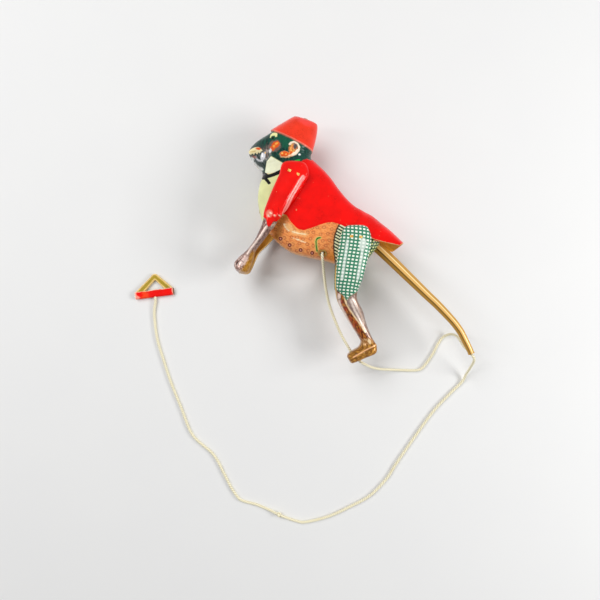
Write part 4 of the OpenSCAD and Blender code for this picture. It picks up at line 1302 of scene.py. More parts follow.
LEG_LAYERS = (
    Layer("shin", [Area([(330, 290), (344.5, 294), (347.5, 303.5), (351.2, 310.6), (356.2, 318.6),
        (361, 325.9), (365.2, 332.7), (368, 338), (366, 346), (350, 352), (333, 300)])], (98, 40, 12), 0.8,
        1.0, 0.2, Pattern.FUR, (190, 116, 42)),
    Layer("shin_reds", [Spots(2.1, [(340.8, 302), (350.2, 319), (356, 322), (359.4, 330.4), (353.4, 325.6),
        (345.6, 309.4)])], (178, 56, 26), 1.4, 0.6, 0.1, waver=0.8),
    # Partly print, partly painted reflection: the leg's fur strokes in silvery pinkish greys that stand for a
    # broad reflection over the calf.
    Layer("calf", [Area([(344, 294), *SHIN_RIDGE[1:7], (373, 345), (385, 340), (370, 300), (362, 288)])],
        (146, 124, 116), 1.2, 0.95, 0.35, Pattern.FUR, (186, 168, 158)),
    Layer("calf_back", [Stroke(2.2, [(357, 294), (361.5, 303), (365.4, 313), (368, 323), (371.6, 333),
        (377, 343)])], (122, 86, 62), 1.2, 0.9, 0.35, Pattern.FUR, (160, 122, 92)),
    Layer("calf_side", [Stroke(0.8, [(347.2, 299.6), (351.4, 308), (356.4, 316.4)])], (120, 98, 92), 0.7, 0.7,
        0.3, waver=0.5),
    # Painted highlights: pale streaks down the calf.
    Layer("calf_gleams", strokes(0.9, [[(350.8, 300), (353.6, 308), (358, 316), (361.6, 322.6), (366, 331.6)],
        [(352.6, 298.2), (355.8, 304.4), (358.8, 310.6), (361.6, 317), (363.6, 323)]]), (238, 222, 210), 0.9,
        0.8, 0.1, waver=0.5),
    Layer("calf_fold", [Stroke(0.7, CALF_FOLD)], (138, 98, 74), 0.6, 0.7, 0.3, waver=0.4),
    # Painted highlight: a pale strip and patch along the front edge of the shin.
    Layer("shin_front", [Stroke(1.1, [(338.8, 295), (339.6, 303.4), (343.9, 312.5), (350.2, 324.8),
        (356.4, 335)]), Oval((339.2, 296), (1.6, 2.8))], (246, 224, 210), 0.8, 0.92, 0.2, waver=0.6),
    # Painted shade: a dark line in a crease at the top of the shin.
    Layer("shin_crease", [Stroke(0.5, [(337.6, 300), (341, 298.8)])], (96, 74, 66), 0.5, 0.8),
    Layer("foot", [Area([(352, 343.5), (358.9, 343.9), (362.5, 340.5), (371, 339.5), (376, 340), (392, 345),
        (392, 372), (335, 372), (335, 346)])], (128, 82, 32), 1.4, 1.0, 0.3, Pattern.FUR, (196, 140, 60)),
    Layer("ankle", [Oval((366.5, 341.5), (5.2, 3.4), -20)], (158, 104, 46), 1.6, 0.85, 0.25, Pattern.FUR,
        (232, 190, 142), 1.0),
    # Painted highlight: a cream line along the shin's ridge and a pale patch at the heel.
    Layer("shin_ridge", [Stroke(0.6, SHIN_RIDGE[:6]), Oval((369.4, 341.6), (1.3, 2.4), -30)], (252, 222, 176),
        0.5, 0.92, 0.4, waver=0.3),
    Layer("foot_ridge", [Stroke(0.62, FOOT_RIDGE)], (246, 186, 132), 0.4, 0.9, 0.4),
    Layer("trouser_leg", [Area(TROUSER_LEG)], (38, 124, 90), 0.3, 1.0, 0.05, Pattern.CHECKS, (242, 248, 234)),
    # Painted highlights: two milky streaks and a pale patch on the trouser leg.
    Layer("thigh_gleams", [*strokes(1.3, [[(347.6, 241), (345.4, 256), (342.1, 278.6)], [(363.4, 242),
        (361.4, 257), (357.4, 278.6)]]), Oval((362.6, 244.4), (3.4, 6.6), 8)], (232, 240, 232), 1.2, 0.72,
        waver=0.5),
    Layer("hem", [Stroke(0.5, TROUSER_LEG[4:15])], (150, 132, 92), 0.3, 0.45),
)
ARM_LAYERS = (
    Layer("forearm", [], (112, 82, 76), 1.0, 1.0, 0.5, Pattern.FUR, (172, 140, 130)),
    Layer("fist", [Oval((242, 264), (11, 10))], (150, 108, 96), 4.0, 0.9, 0.5, Pattern.FUR, (224, 196, 186),
        1.0),
    Layer("palm", [Area([(251.5, 251.5), (264, 248), (264, 282), (234, 282), (240.5, 270), (244.6, 264.4),
        (248.4, 258)])], (168, 112, 14), 1.8, 0.95, 0.25, Pattern.FUR, (200, 144, 38), 1.0),
    # Painted highlight on the back of the fist.
    Layer("fist_light", [Oval((243.4, 261), (2.6, 6.6), 38)], (240, 212, 202), 1.6, 0.7, 0.4, waver=1.2),
    Layer("knuckles", strokes(0.35, [[(240.4, 259.4), (243.6, 262.2)], [(241, 266.4), (245, 268.2)]]),
        (60, 34, 22), 0.3, 0.8),
    Layer("elbow", [Area([(270.6, 223.2), (276.8, 221.6), (277.6, 226), (275.6, 230.2), (271.9, 232.2),
        (269.9, 228.6)])], (204, 194, 182), 0.8, 0.9, 0.4, Pattern.FUR, (118, 104, 92)),
    # Painted highlight: a pale streak along the forearm's ridge.
    Layer("forearm_streak", [Stroke(0.95, FOREARM_HIGHLIGHT_RIDGE)], (244, 222, 210), 0.8, 0.8, 0.5, waver=0.4),
    # Painted shade: black stands for the dark inside the slit between the hand's halves, over a shallow
    # groove.
    Layer("fist_slit", [Stroke(0.55, [(236, 264.6), (237.9, 260.8)])], (20, 10, 8)),
    Layer("sleeve", [Area([(245, 140), (325, 140), (325, 190), (302, 205), (290, 212.5), (285.6, 214.8),
        (283.9, 217.4), (281.6, 219.8), (279.6, 219.3), (277.8, 220.2), (276.5, 221.6), (274.8, 221.2),
        (273.4, 221.6), (272.2, 222.8), (271.3, 224.6), (270.2, 226), (268.9, 226.6), (267.5, 225.8),
        (266.7, 222.6), (266.1, 219), (264, 217.6), (258, 214)])], (238, 14, 6), metal=0.1),
    # Painted highlight: a pale pink band along the sleeve's back seam.
    Layer("seam_shine", [Stroke(1.7, SLEEVE_SEAM)], (255, 178, 168), 0.6, 0.75, 0.1, waver=0.2),
    Layer("sleeve_seam", [Stroke(0.3, SLEEVE_SEAM)], (206, 40, 34), 0.4, 0.8),
    # Painted shade: darker red lines in the folds between the cuff's gathers.
    Layer("cuff_folds", strokes(0.4, [[(267.6, 207.5), (268.8, 211.5), (268.4, 216)], [(273, 208.5),
        (273.4, 212.5), (272.2, 216.8)], [(278.4, 207.8), (278.6, 212), (277.2, 216.4)]]), (170, 8, 4), 0.5,
        0.5),
    # Painted highlights: pink patches on the cuff's gathers.
    Layer("cuff_shine", [*strokes(0.7, [[(274.4, 215.4), (274.9, 215.6)], [(279.4, 215.3), (279.9, 215.5)]]),
        Oval((269.3, 213.8), (2.9, 3.6), 20)], (244, 152, 132), 1.1, 0.75, 0.1, waver=0.6),
    # Painted highlights: small white glints on the cuff's gathers.
    Layer("cuff_spark", strokes(0.6, [[(270.5, 212.8), (271.3, 213.4)], [(268.5, 215.3), (269, 216.5)],
        [(274.1, 215.1), (274.5, 215.2)], [(278.5, 214.8), (278.9, 214.9)]]), (255, 228, 200), 0.6, 0.9,
        waver=0.3),
)

# Relief: height of a step in millimetres, and the depths of a mark from which and up to which it rises

BODY_STEPS = (("coat", 0.34, -0.2, 1.2), ("collar", 0.3, -0.2, 1.0), ("shirt", 0.12, -0.2, 1.2),
              ("ear", 0.5, -0.7, 0.7), ("lobe", 0.4, -0.8, 1.6), ("ear_hole", -0.4, -0.6, 0.9),
              ("ear_folds", -0.2, -0.3, 0.3), ("eyelid", 0.5, -0.5, 0.8), ("iris", 0.35, -0.4, 1.2),
              ("mouth", 0.45, -0.5, 0.9), ("button_ring", 0.18, -0.3, 0.5), ("pocket", -0.14, -0.3, 0.4),
              ("trousers", 0.1, -0.2, 0.6), ("trousers_edge", -0.12, -0.3, 0.4))
ARM_STEPS = (("sleeve", 0.45, -0.3, 0.9), ("fist_slit", -0.4, -0.5, 0.4), ("knuckles", -0.2, -0.3, 0.3))
# Round forms of the head, with their heights: cheek, nose, chin and the hollow behind the muzzle
HEAD_SWELLS = ((0.6, Oval((275.7, 146), (6.4, 5.4), -25)), (0.45, Oval((266, 141), (7, 5), 10)),
               (0.5, Oval((259, 163), (6, 4.4), 35)), (-0.35, Oval((266, 152), (4, 7))))
BELLY_SWELL = Oval((293, 224), (12, 7), 30)
CUFF_GATHERS = [Oval(centre, (2.7, 3.6), 20) for centre in ((270.2, 213.8), (275, 215.3), (279.9, 214.6))]
ELBOW_SWELL = Oval((273.6, 227), (4.4, 5.6), 25)
ANKLE_END = 345.5


def stepped(marks: Marks, steps: Sequence[tuple[str, float, float, float]]) -> Array:
    """Sum of steps, each its height times the smooth step of its mark's depth between its two depths."""
    return sum(height * ease(marks[name], low, high) for name, height, low, high in steps)


def crest(at: Array, line: Line, reach: float) -> Array:
    """A ridge along a line: 1 on it, falling evenly to 0 at its reach."""
    return np.clip(1 - line_distance(at, line) / reach, 0, 1)


def body_relief(at: Array, marks: Marks) -> Array:
    """Height of the body's relief: steps of the print, round swells and the line of the jaw.

    Args:
        at: Print points.
        marks: Depths in the printed shapes there.

    Returns:
        The heights in millimetres.
    """
    bow = 0.32 * ease(np.maximum(marks["bow"], marks["bow_end"]), -0.3, 0.6)
    jaw = 0.3 * ease(0.6 - line_distance(at, JAW), -0.6, 0.5)
    belly = 0.5 * BELLY_SWELL.swell(at) * (marks["coat"] < 0)
    head = sum(height * form.swell(at) for height, form in HEAD_SWELLS)
    return stepped(marks, BODY_STEPS) + head + bow - jaw + belly


def leg_relief(at: Array, marks: Marks) -> Array:
    """Height of the leg's relief: the trouser leg over the shin, and the ridges of shin, foot and calf.

    Args:
        at: Print points.
        marks: Depths in the printed shapes there.

    Returns:
        The heights in millimetres.
    """
    cloth = marks["trouser_leg"]
    shin = crest(at, SHIN_RIDGE, 3.2) * ease(-cloth, 0.2, 3) * ease(ANKLE_END - at[:, 1], 0, 12)
    fold = crest(at, CALF_FOLD, 1.8) * ease(-cloth, 0.2, 2)
    return 0.4 * ease(cloth, -0.3, 0.8) + 0.65 * shin + 0.5 * crest(at, FOOT_RIDGE, 2.6) + 0.25 * fold


def arm_relief(at: Array, marks: Marks) -> Array:
    """Height of the arm's relief: the sleeve, its back seam, the gathers at its cuff, elbow and fist.

    Args:
        at: Print points.
        marks: Depths in the printed shapes there.

    Returns:
        The heights in millimetres.
    """
    facet = np.clip(1 - (line_distance(at, SLEEVE_SEAM) / 3.4) ** 2, 0, 1)
    gathers = np.max([gather.swell(at) for gather in CUFF_GATHERS], axis=0)
    elbow = ELBOW_SWELL.swell(at) * (marks["sleeve"] < 0)
    return (stepped(marks, ARM_STEPS) - 0.14 * crest(at, SLEEVE_SEAM, 1.0) - 0.4 * facet + 0.75 * gathers
            + 0.4 * crest(at, FOREARM_HIGHLIGHT_RIDGE, 2.6) + 0.5 * elbow)


# Pressings


def dress(piece: Piece, body: Optional[str], slot: str, *nodes: str) -> Piece:
    """Attaches a piece to its body and hides the model's parts for the nodes that it stands for.

    Args:
        piece: The piece.
        body: The body that it rides on, or None where it lies between two and is attached to neither.
        slot: The slot of its finish; not used.
        *nodes: The nodes.

    Returns:
        The piece.
    """
    if body:
        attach(piece, body)
    if nodes:
        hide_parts(*nodes)
    return piece


def from_rims(across: Array, along: Array) -> Array:
    """Distance of a sheet's points from the nearest rim, from their runs across and along."""
    return np.minimum(np.minimum(across, across[:, -1:] - across), np.minimum(along, along[-1:] - along))


@dataclass
class Pressing:
    """What the body and the limbs share: one half pressed from sheet, printed outside, gold inside."""

    columns: int = 121
    coarse: int = 4
    crease: float = 38.0
    place: Array = field(default_factory=lambda: np.zeros(3))

    def smooth(self, rows: Array) -> Array:
        """The smooth section grid in its place."""
        return section_points(rows, across_shares(self.columns)) + self.place

    def press(self, rows: Array, layers: Sequence[Layer], relief: Callable[[Array, Marks], Array],
              extra: Optional[Marks] = None) -> Skin:
        """Presses one half.

        The outer face is the smooth section grid moved outwards by the relief, which fades within 1.4 mm
        of a rim. The inner face is the smooth grid moved inwards by the sheet.

        Args:
            rows: Rows of section numbers.
            layers: The print.
            relief: Gives the relief's height at print points.
            extra: Marks that hold for whole rows.

        Returns:
            The half, in figure points.
        """
        smooth = self.smooth(rows)
        normals = outward(smooth)
        across = run_lengths(smooth, 1)
        along = run_lengths(smooth, 0)
        middle = self.columns // 2
        edge = from_rims(across, along)
        seen = as_seen(smooth).reshape(-1, 2)
        shapes = {layer.mark: layer.depth(seen) for layer in layers}
        height = relief(seen, shapes).reshape(edge.shape) * ease(edge, 0.2, 1.4)
        shapes.update(seen_x=seen[:, 0], seen_y=seen[:, 1], edge=edge.ravel())
        for name, value in (extra or {}).items():
            shapes[name] = np.repeat(value, self.columns)
        chart = grid_chart(across - across[:, middle:middle + 1],
                           np.repeat(along[:, middle:middle + 1], self.columns, axis=1))
        outer = smooth + normals * height[..., None]
        return pressed_sheet(outer, smooth - SHEET * normals, shapes, chart, self.coarse)


@dataclass
class BodyShells(Pressing):
    """The two halves of the body, with head, fez, coat and the coat's tail pressed in one piece each."""

    columns: int = 201
    crease: float = 34.0
    fez_rows: int = 36
    body_steps: int = 16
    brim_sag: float = 2.4
    arch_rows: int = 61
    arch_columns: int = 49
    eyelet_hole: float = 2.2

    def rows(self) -> tuple[Array, Array]:
        """Section numbers of fine rows, from the crown of the fez to the rump.

        Returns:
            The rows, and 1 for each row of the fez and -1 for the others.
        """
        def full(table: Line) -> Array:
            """A table's rows with both rims at the seam and the depth in millimetres."""
            t = np.array(table) * [1, 1, 1, 1, BODY_DEPTH, 1, 1]
            return np.insert(t[:, [0, 1, 2, 3, 4, 5, 5, 6]], [4, 4], 0.0, axis=1)

        fez = through(full(FEZ), np.linspace(0, len(FEZ) - 1, self.fez_rows))
        body = through(full(BODY), np.arange((len(BODY) - 1) * self.body_steps + 1) / self.body_steps)
        rows = np.concatenate([fez, body])
        rows[:, 6] = np.maximum(rows[:, 6], 0)
        return rows, np.concatenate([np.ones(len(fez)), -np.ones(len(body))])

    def smooth(self, rows: Array) -> Array:
        """The section grid, with the fez and its brim lower on the flank than at the seam.

        A point moves down along the fez by the sag times its share of the depth to the power 1.2, most at
        the crown, and less and less over the head.

        Args:
            rows: Rows of section numbers.

        Returns:
            The grid.
        """
        grid = super().smooth(rows)
        row = np.arange(len(rows))
        weight = 1 - ease(row, self.fez_rows, self.fez_rows + 5.5 * self.body_steps)
        weight = weight * (1.7 - 0.7 * ease(row, self.fez_rows * 0.35, self.fez_rows))
        shift = self.brim_sag * weight[:, None] * np.clip(grid[..., 2] / BODY_DEPTH, 0, 1) ** 1.2
        return grid - shift[..., None] * FEZ_WAY

    def arch(self) -> Skin:
        """Half of the coat's tail: an arch from the seam to its lower edge.

        At angle a from the seam the share across is 1 - cos a and the height BODY_DEPTH sin(a)^0.9. The
        sheet lies outside this surface.

        Returns:
            The mesh, printed as the coat is.
        """
        last = len(COAT_TAIL) - 1
        t = through(np.array(COAT_TAIL, float), np.linspace(last, 0, self.arch_rows))[:, :, None]
        a = np.linspace(0, np.pi / 2, self.arch_columns)[None, :]
        u = 1 - np.cos(a)
        base = np.stack([t[:, 0] + (t[:, 2] - t[:, 0]) * u, t[:, 1] + (t[:, 3] - t[:, 1]) * u,
                         BODY_DEPTH * np.sin(a) ** 0.9 * np.ones_like(t[:, 0])], axis=-1)
        top = base + SHEET * outward(base, (False, False, True, False))
        seen = as_seen(top).reshape(-1, 2)
        across, along = run_lengths(top, 1), run_lengths(top, 0)
        edge = np.minimum(np.minimum(across, across[:, -1:] - across), along)
        marks = {layer.mark: np.full(len(seen), WELL_OUT) for layer in BODY_LAYERS}
        marks.update(coat=np.full(len(seen), WELL_IN), edge=edge.ravel())
        marks.update(seen_x=seen[:, 0], seen_y=seen[:, 1])
        return pressed_sheet(top, base, marks, grid_chart(across, along), self.coarse)

    def build(self) -> list[Piece]:
        """Builds both shells, the near one with the hole for its eyelet.

        Returns:
            The near and the far shell.
        """
        print_out = PrintedTin("body_print", (228, 142, 66), BODY_LAYERS).material()
        gold_in = GoldLacquer("body_inside", (255, 192, 66), (236, 154, 40), metal=0.2).material()
        rows, fez = self.rows()
        brim = 0.7 - np.abs(np.arange(len(rows)) - (self.fez_rows - 0.9))
        shell = self.press(rows, BODY_LAYERS, body_relief, {"fez": fez, "brim": brim})
        middles = shell.points[shell.quads].mean(axis=1)
        holed = shell.without(np.linalg.norm(middles - np.array(EYELET_AT), axis=1) < self.eyelet_hole)
        arch = self.arch()
        made = []
        for side, skin, word in ((Side.NEAR, holed, "near"), (Side.FAR, shell, "far")):
            piece = skin.joined(arch).on_side(side).build(f"{word}_shell_pressing", [print_out, gold_in],
                                                         self.crease)
            made.append(dress(piece, "body", "printed_tin", f"{word}_body_shell"))
        return made


@dataclass
class SeamTabs:
    """Tabs of the far shell, bent over the near one at the seam: places as figure x y and turn."""

    places: tuple[Point, ...] = ((-33.6, 85.6, 71.0), (-65.75, 21.5, 187.0), (-4.2, -18.05, 261.0),
                                 (21.8, 9.75, 44.0))
    width: float = 3.4
    reach: float = 1.6
    thickness: float = 0.35
    gap: float = 0.03
    squareness: float = 0.28
    narrowing: float = 0.14

    def build(self) -> Piece:
        """Builds all tabs as rounded leaves that narrow towards their free end.

        Returns:
            The tabs as one piece.
        """
        leaf = rounded_block((self.thickness / 2, self.width / 2, self.reach), self.squareness, 16)
        leaf[..., 1] *= 1 - self.narrowing * np.abs(leaf[..., 2]) / self.reach
        leaf[..., 0] += self.gap + self.thickness / 2
        skins = [closed_form(leaf).placed(about("Z", turn), (x, y, 0)) for x, y, turn in self.places]
        whole = skins[0]
        for skin in skins[1:]:
            whole = whole.joined(skin)
        gold = GoldLacquer("tab_gold", (226, 196, 134), (164, 126, 62)).material()
        return dress(whole.build("seam_tabs", [gold], 50), "body", "gold_lacquer")


@dataclass
class Limbs(Pressing):
    """A pair of legs or arms, one half pressing on each side."""

    name: str = "leg"
    body: str = "legs"
    table: tuple = ()
    sections_fine: int = 12
    ground: Colour = (90, 40, 20)
    layers: tuple[Layer, ...] = ()
    inside_light: Colour = (240, 204, 126)
    relief: Callable[[Array, Marks], Array] = leg_relief

    def rows(self) -> Array:
        """Section numbers of fine rows, with no rim past the seam.

        Returns:
            The rows.
        """
        table = np.array([[*row, 1.0] for row in self.table], float)
        fine = through(table, np.linspace(0, len(table) - 1, self.sections_fine * (len(table) - 1) + 1))
        fine[:, 4:7] = np.maximum(fine[:, 4:7], 0)
        return fine

    def build(self) -> list[Piece]:
        """Builds both limbs, nowhere lower than the table.

        Returns:
            The near and the far limb.
        """
        print_out = PrintedTin(f"{self.name}_print", self.ground, self.layers, 0.55, (226, 200, 160), 0.22)
        gold_in = GoldLacquer(f"{self.name}_inside", self.inside_light, (212, 172, 88), metal=0.15)
        finishes = [print_out.material(), gold_in.material()]
        made = []
        for side, word in ((Side.NEAR, "near"), (Side.FAR, "far")):
            skin = self.press(self.rows(), self.layers, self.relief).on_side(side)
            skin.points[:, 2] = np.maximum(skin.points[:, 2], LOWEST)
            piece = skin.build(f"{word}_{self.name}_pressing", finishes, self.crease)
            made.append(dress(piece, self.body, "printed_tin", f"{word}_{self.name}"))
        return made


# The rest of the toy


@dataclass
class Tail:
    """The tail, rolled from a strip that narrows to its open tip."""

    root_width: float = 7.6
    tip_width: float = 4.2
    inside: float = 6.0
    slot: float = 5.0
    seam_at: float = 154.0
    steps: int = 16
    around: int = 72
    coarse: int = 4
    lip: float = 0.22
    lip_rings: int = 7
    eye: float = 1.25
    eye_run: tuple[float, float] = (-8.0, 0.4)

    def rings(self) -> tuple[Array, Array, Array]:
        """Fine rings along the tail.

        Returns:
            Their middles, side directions and radii.
        """
        along = np.array([math.cos(TAIL_ANGLE), math.sin(TAIL_ANGLE)])
        corners = np.concatenate([[TAIL_ROOT - self.inside * along, TAIL_ROOT], TAIL])
        last = len(corners) - 1
        share = np.maximum(np.arange(last + 1) - 1, 0) / (last - 1)
        radii = (self.root_width + (self.tip_width - self.root_width) * share) / 2
        fine = through(np.column_stack([corners, radii]), np.linspace(0, last, self.steps * last + 1))
        way = unit(np.gradient(fine[:, :2], axis=0))
        line = np.column_stack([fine[:, :2], np.zeros(len(fine))])
        return line, np.column_stack([way[:, 1], -way[:, 0], np.zeros(len(way))]), fine[:, 2]

    def build(self) -> Piece:
        """Builds the strip: at angle a a point is the line's + r (cos(a - 90) side + sin(a - 90) up).

        Returns:
            The tail, with a lip at its tip and a hole where the cord goes in.
        """
        line, side, radii = self.rings()
        degrees = self.seam_at + self.slot / 2 + (360 - self.slot) * np.linspace(0, 1, self.around + 1)
        a = np.radians(degrees - 90)
        spoke = np.cos(a)[None, :, None] * side[:, None] + np.sin(a)[None, :, None] * np.array([0, 0, 1.0])
        lip = self.lip * ease(np.arange(len(line)), len(line) - self.lip_rings, len(line) - 1)
        outer = line[:, None] + (radii + lip)[:, None, None] * spoke
        inner = line[:, None] + (radii + lip - SHEET)[:, None, None] * spoke
        along = np.repeat(run_lengths(line, 0)[:, None], self.around + 1, axis=1)
        turn = np.broadcast_to(180 - degrees, along.shape)
        chart = grid_chart(radii[:, None] * a[None, :], along)
        skin = pressed_sheet(outer, inner, {"turn": turn.ravel()}, chart, self.coarse)
        end, before = np.array(ROUTE_TO_TAIL[-1]) - HIP, np.array(ROUTE_TO_TAIL[-3]) - HIP
        way = unit(end - before)
        apart = skin.points[skin.quads].mean(axis=1) - end
        run = apart @ way
        beside = np.linalg.norm(apart - run[:, None] * way, axis=1)
        skin = skin.without((beside < self.eye) & (run > self.eye_run[0]) & (run < self.eye_run[1]))
        inner_gold = GoldLacquer("tail_inside", (150, 112, 40), (84, 58, 20)).material()
        piece = skin.build("tail_strip", [BandedGold("tail_gold").material(), inner_gold], 34)
        return dress(piece, "body", "gold_lacquer", "tail")


@dataclass
class Eyelet:
    """The rolled eyelet on the belly: its profile's neck, rim and mouth as radius and height."""

    lean: float = 40.5
    facing: float = -102.0
    neck: tuple[tuple[float, float], ...] = (
        (1.9, -1.55), (2.6, -1.55), (2.6, -1.2), (2.25, -1.2), (2.25, -0.2), (2.35, 0.05))
    rim: tuple[float, float] = (2.925, 0.25)
    rim_radius: float = 0.175
    mouth: tuple[float, float] = (2.1, 0.225)
    mouth_radius: float = 0.2

    def build(self) -> Piece:
        """Builds the eyelet, with a rolled outer lip and a rounded mouth.

        Returns:
            The eyelet.
        """
        def arc(middle: tuple[float, float], radius: float, start: float, end: float, count: int) -> Array:
            """Points of an arc between two angles in degrees."""
            a = np.radians(np.linspace(start, end, count))
            return np.array(middle) + radius * np.column_stack([np.cos(a), np.sin(a)])

        profile = np.concatenate([self.neck, arc(self.rim, self.rim_radius, -90, 90, 9), [[2.6, 0.4]],
                                  arc(self.mouth, self.mouth_radius, 90, 180, 5), [[1.9, -0.6]]])
        skin = turned_ring(profile, 72).placed(about("Z", self.facing) @ about("Y", self.lean), EYELET_AT)
        tin = GoldLacquer("eyelet_tin", (218, 182, 110), (150, 108, 48), 1.2, 0.26).material()
        return dress(skin.build("eyelet_ring", [tin], 40), "body", "gold_lacquer", "belly_eyelet")


@dataclass
class Mechanism:
    """Axles, lever, post and the return spring."""

    lever_angle: float = -75.0
    spring_radius: float = 2.1
    wire: float = 0.6
    first: float = 15.0
    last: float = 1757.8
    rise: float = 1.05
    foot: float = 1.2
    wire_step: float = 0.32
    turn_points: int = 140
    around: int = 12
    arm_angle: float = 47.8
    arm_reach: float = 9.94
    hooked_arm: tuple[Point, ...] = (
        (7.2, -2.15, -0.3), (7.2, -2.15, 0.6), (7.2, -1.5, 1.05), (7.2, 1.5, 1.05), (7.1, 2.15, 0.55),
        (6.4, 2.1, 0.1), (4.2, 2.1, 0.48), (1.8, 2.1, 0.89))

    def spring(self) -> Piece:
        """Builds the spring: a hook and an arm that go with the lever, turns that rise evenly, an arm.

        The hooked arm's points are given along the lever, beside it and above the seam. The height
        of the turns grows by rise each turn, and the turns twist as the lever swings.

        Returns:
            The spring.
        """
        c, s = math.cos(math.radians(self.lever_angle)), math.sin(math.radians(self.lever_angle))
        along, beside, above = np.array(self.hooked_arm).T
        arm = np.column_stack([c * along - s * beside, s * along + c * beside, above])
        a = np.radians(np.linspace(self.first, self.last, self.turn_points))
        height = self.foot + (a - a[0]) / (2 * np.pi) * self.rise
        coil = np.column_stack([self.spring_radius * np.cos(a), self.spring_radius * np.sin(a), height])
        out = np.radians(self.arm_angle)
        outwards = self.arm_reach * np.array([math.cos(out), math.sin(out), 0])
        end = coil[-1] + np.array([[0.6], [1.0]]) * outwards
        line = even_line(np.concatenate([arm, coil, end]), self.wire_step)
        skin = tube(line, np.full(len(line), self.wire / 2), self.around)
        steel = DrawnSteel("spring_steel", (150, 150, 154), (84, 82, 82)).material()
        piece = dress(skin.build("return_spring", [steel], 60), None, "spring_wire", "hip_spring")
        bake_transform(piece)
        return piece

    def build(self) -> list[Piece]:
        """Builds the spring and finishes the nodes that keep their own shape.

        Returns:
            The spring alone.
        """
        prongs = DrawnSteel("prong_brass", (255, 220, 132), (224, 164, 66), 0.26, 0.35).material()
        steel = DrawnSteel("sheared_steel", (176, 172, 164), (112, 106, 98)).material()
        for node, finish in (("hip_axle", prongs), ("shoulder_axle", prongs), ("hip_lever", steel),
                             ("spring_post", prongs)):
            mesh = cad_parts[node].data
            mesh.materials.clear()
            mesh.materials.append(finish)
        return [self.spring()]


@dataclass
class PullCord:
    """The waxed cotton cord in its stretches, with its knots."""

    diameter: float = CORD_D
    pitch: float = 5.2
    ring_step: float = 0.36
    around: int = 18
    fullness: float = 0.545
    groove: float = 0.17
    strands: int = 3
    knot_groove: float = 0.16
    knot_pitch: float = 3.2
    crease: float = 75.0
    finish: TwistedCord = TwistedCord("cord_cotton", (253, 249, 221), (190, 171, 124))

    def __post_init__(self) -> None:
        """Makes the cord's material once."""
        self.material = self.finish.material()

    def line(self, route: Line) -> Array:
        """The smooth line of a stretch, nowhere lower than the table lets it.

        Args:
            route: The stretch's points.

        Returns:
            The line, in the toy's own frame.
        """
        fine = even_line(np.array(route), self.ring_step)
        fine[:, 2] = np.maximum(fine[:, 2], self.diameter / 2)
        return fine

    def stretch(self, name: str, route: Line, body: Optional[str], node: str) -> Piece:
        """Builds one stretch of twisted cord.

        Args:
            name: The piece's name.
            route: The stretch's points.
            body: The body that it rides on, if any.
            node: The node that it stands for.

        Returns:
            The piece.
        """
        line = self.line(route)
        skin = tube(line - HIP, np.full(len(line), self.diameter * self.fullness), self.around,
                    lobes=self.strands, depth=self.groove, pitch=self.pitch)
        return dress(skin.build(name, [self.material], self.crease), body, "cotton_cord", node)

    def knot(self, name: str, across: float, thick: float, strand: float, turned: Array, at: Sequence[float],
             body: str, node: str) -> Piece:
        """Builds an overhand knot pulled tight.

        Its line is sin(t) + 2 sin(2t), cos(t) - 2 cos(2t), -sin(3t), scaled to the knot's size.

        Args:
            name: The piece's name.
            across: The knot's width.
            thick: Its thickness.
            strand: The radius of the cord in it.
            turned: The matrix that turns it.
            at: Its place, as a figure point.
            body: The body that it rides on.
            node: The node that it stands for.

        Returns:
            The piece.
        """
        t = np.linspace(0, 2 * np.pi + 0.12, 150)
        flat = (across / 2 - strand) / 3
        line = np.column_stack([flat * (np.sin(t) + 2 * np.sin(2 * t)),
                                flat * (np.cos(t) - 2 * np.cos(2 * t)),
                                -(thick / 2 - strand) * np.sin(3 * t)])
        skin = tube(line, np.full(len(line), strand), 16, lobes=self.strands, depth=self.knot_groove,
                    pitch=self.knot_pitch, far=np.array([0.0, 0.0, 1.0])).placed(turned, at)
        return dress(skin.build(name, [self.material], self.crease), body, "cotton_cord", node)

    def declare(self, route: Line) -> None:
        """Works out a stretch's line in metres, and does nothing more with it.

        Args:
            route: Its points.
        """
        line = self.line(route) * METRES

    def build(self) -> list[Piece]:
        """Builds all stretches and knots.

        Returns:
            The pieces, stretches first.
        """
        inner = self.stretch("cord_in_body", ROUTE_INSIDE, None, "cord_inside")
        to_foot = self.stretch("cord_over_belly", ROUTE_TO_FOOT, None, "cord_belly_to_foot")
        in_foot = self.stretch("cord_through_feet", ROUTE_IN_FOOT, "legs", "cord_in_foot")
        to_tail = self.stretch("cord_feet_to_tail", ROUTE_TO_TAIL, None, "cord_foot_to_tail")
        to_knot = self.stretch("cord_long_side", ROUTE_TO_KNOT, "body", "cord_tail_to_knot")
        to_handle = self.stretch("cord_to_handle", ROUTE_TO_HANDLE, "body", "cord_knot_to_handle")
        a, b = np.array(ROUTE_TO_KNOT[-1]), np.array(ROUTE_TO_HANDLE[0])
        lean = math.degrees(math.atan2(b[1] - a[1], b[0] - a[0]))
        mid_knot = self.knot("middle_knot", 3.8, 2.8, 0.74, about("Z", lean) @ about("Y", 90),
                             (a + b) / 2 - HIP, "body", "cord_knot")
        lever_knot = self.knot("lever_end_knot", 3.0, 2.8, 0.6, np.eye(3), (2.847, -10.625, -2.03),
                               "legs", "lever_knot")
        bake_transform(inner)
        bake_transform(to_foot)
        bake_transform(to_tail)
        self.declare(ROUTE_INSIDE)
        self.declare(ROUTE_TO_FOOT)
        self.declare(ROUTE_TO_TAIL)
        self.declare(ROUTE_TO_KNOT)
        self.declare(ROUTE_TO_HANDLE)
        return [inner, to_foot, in_foot, to_tail, to_knot, to_handle, mid_knot, lever_knot]


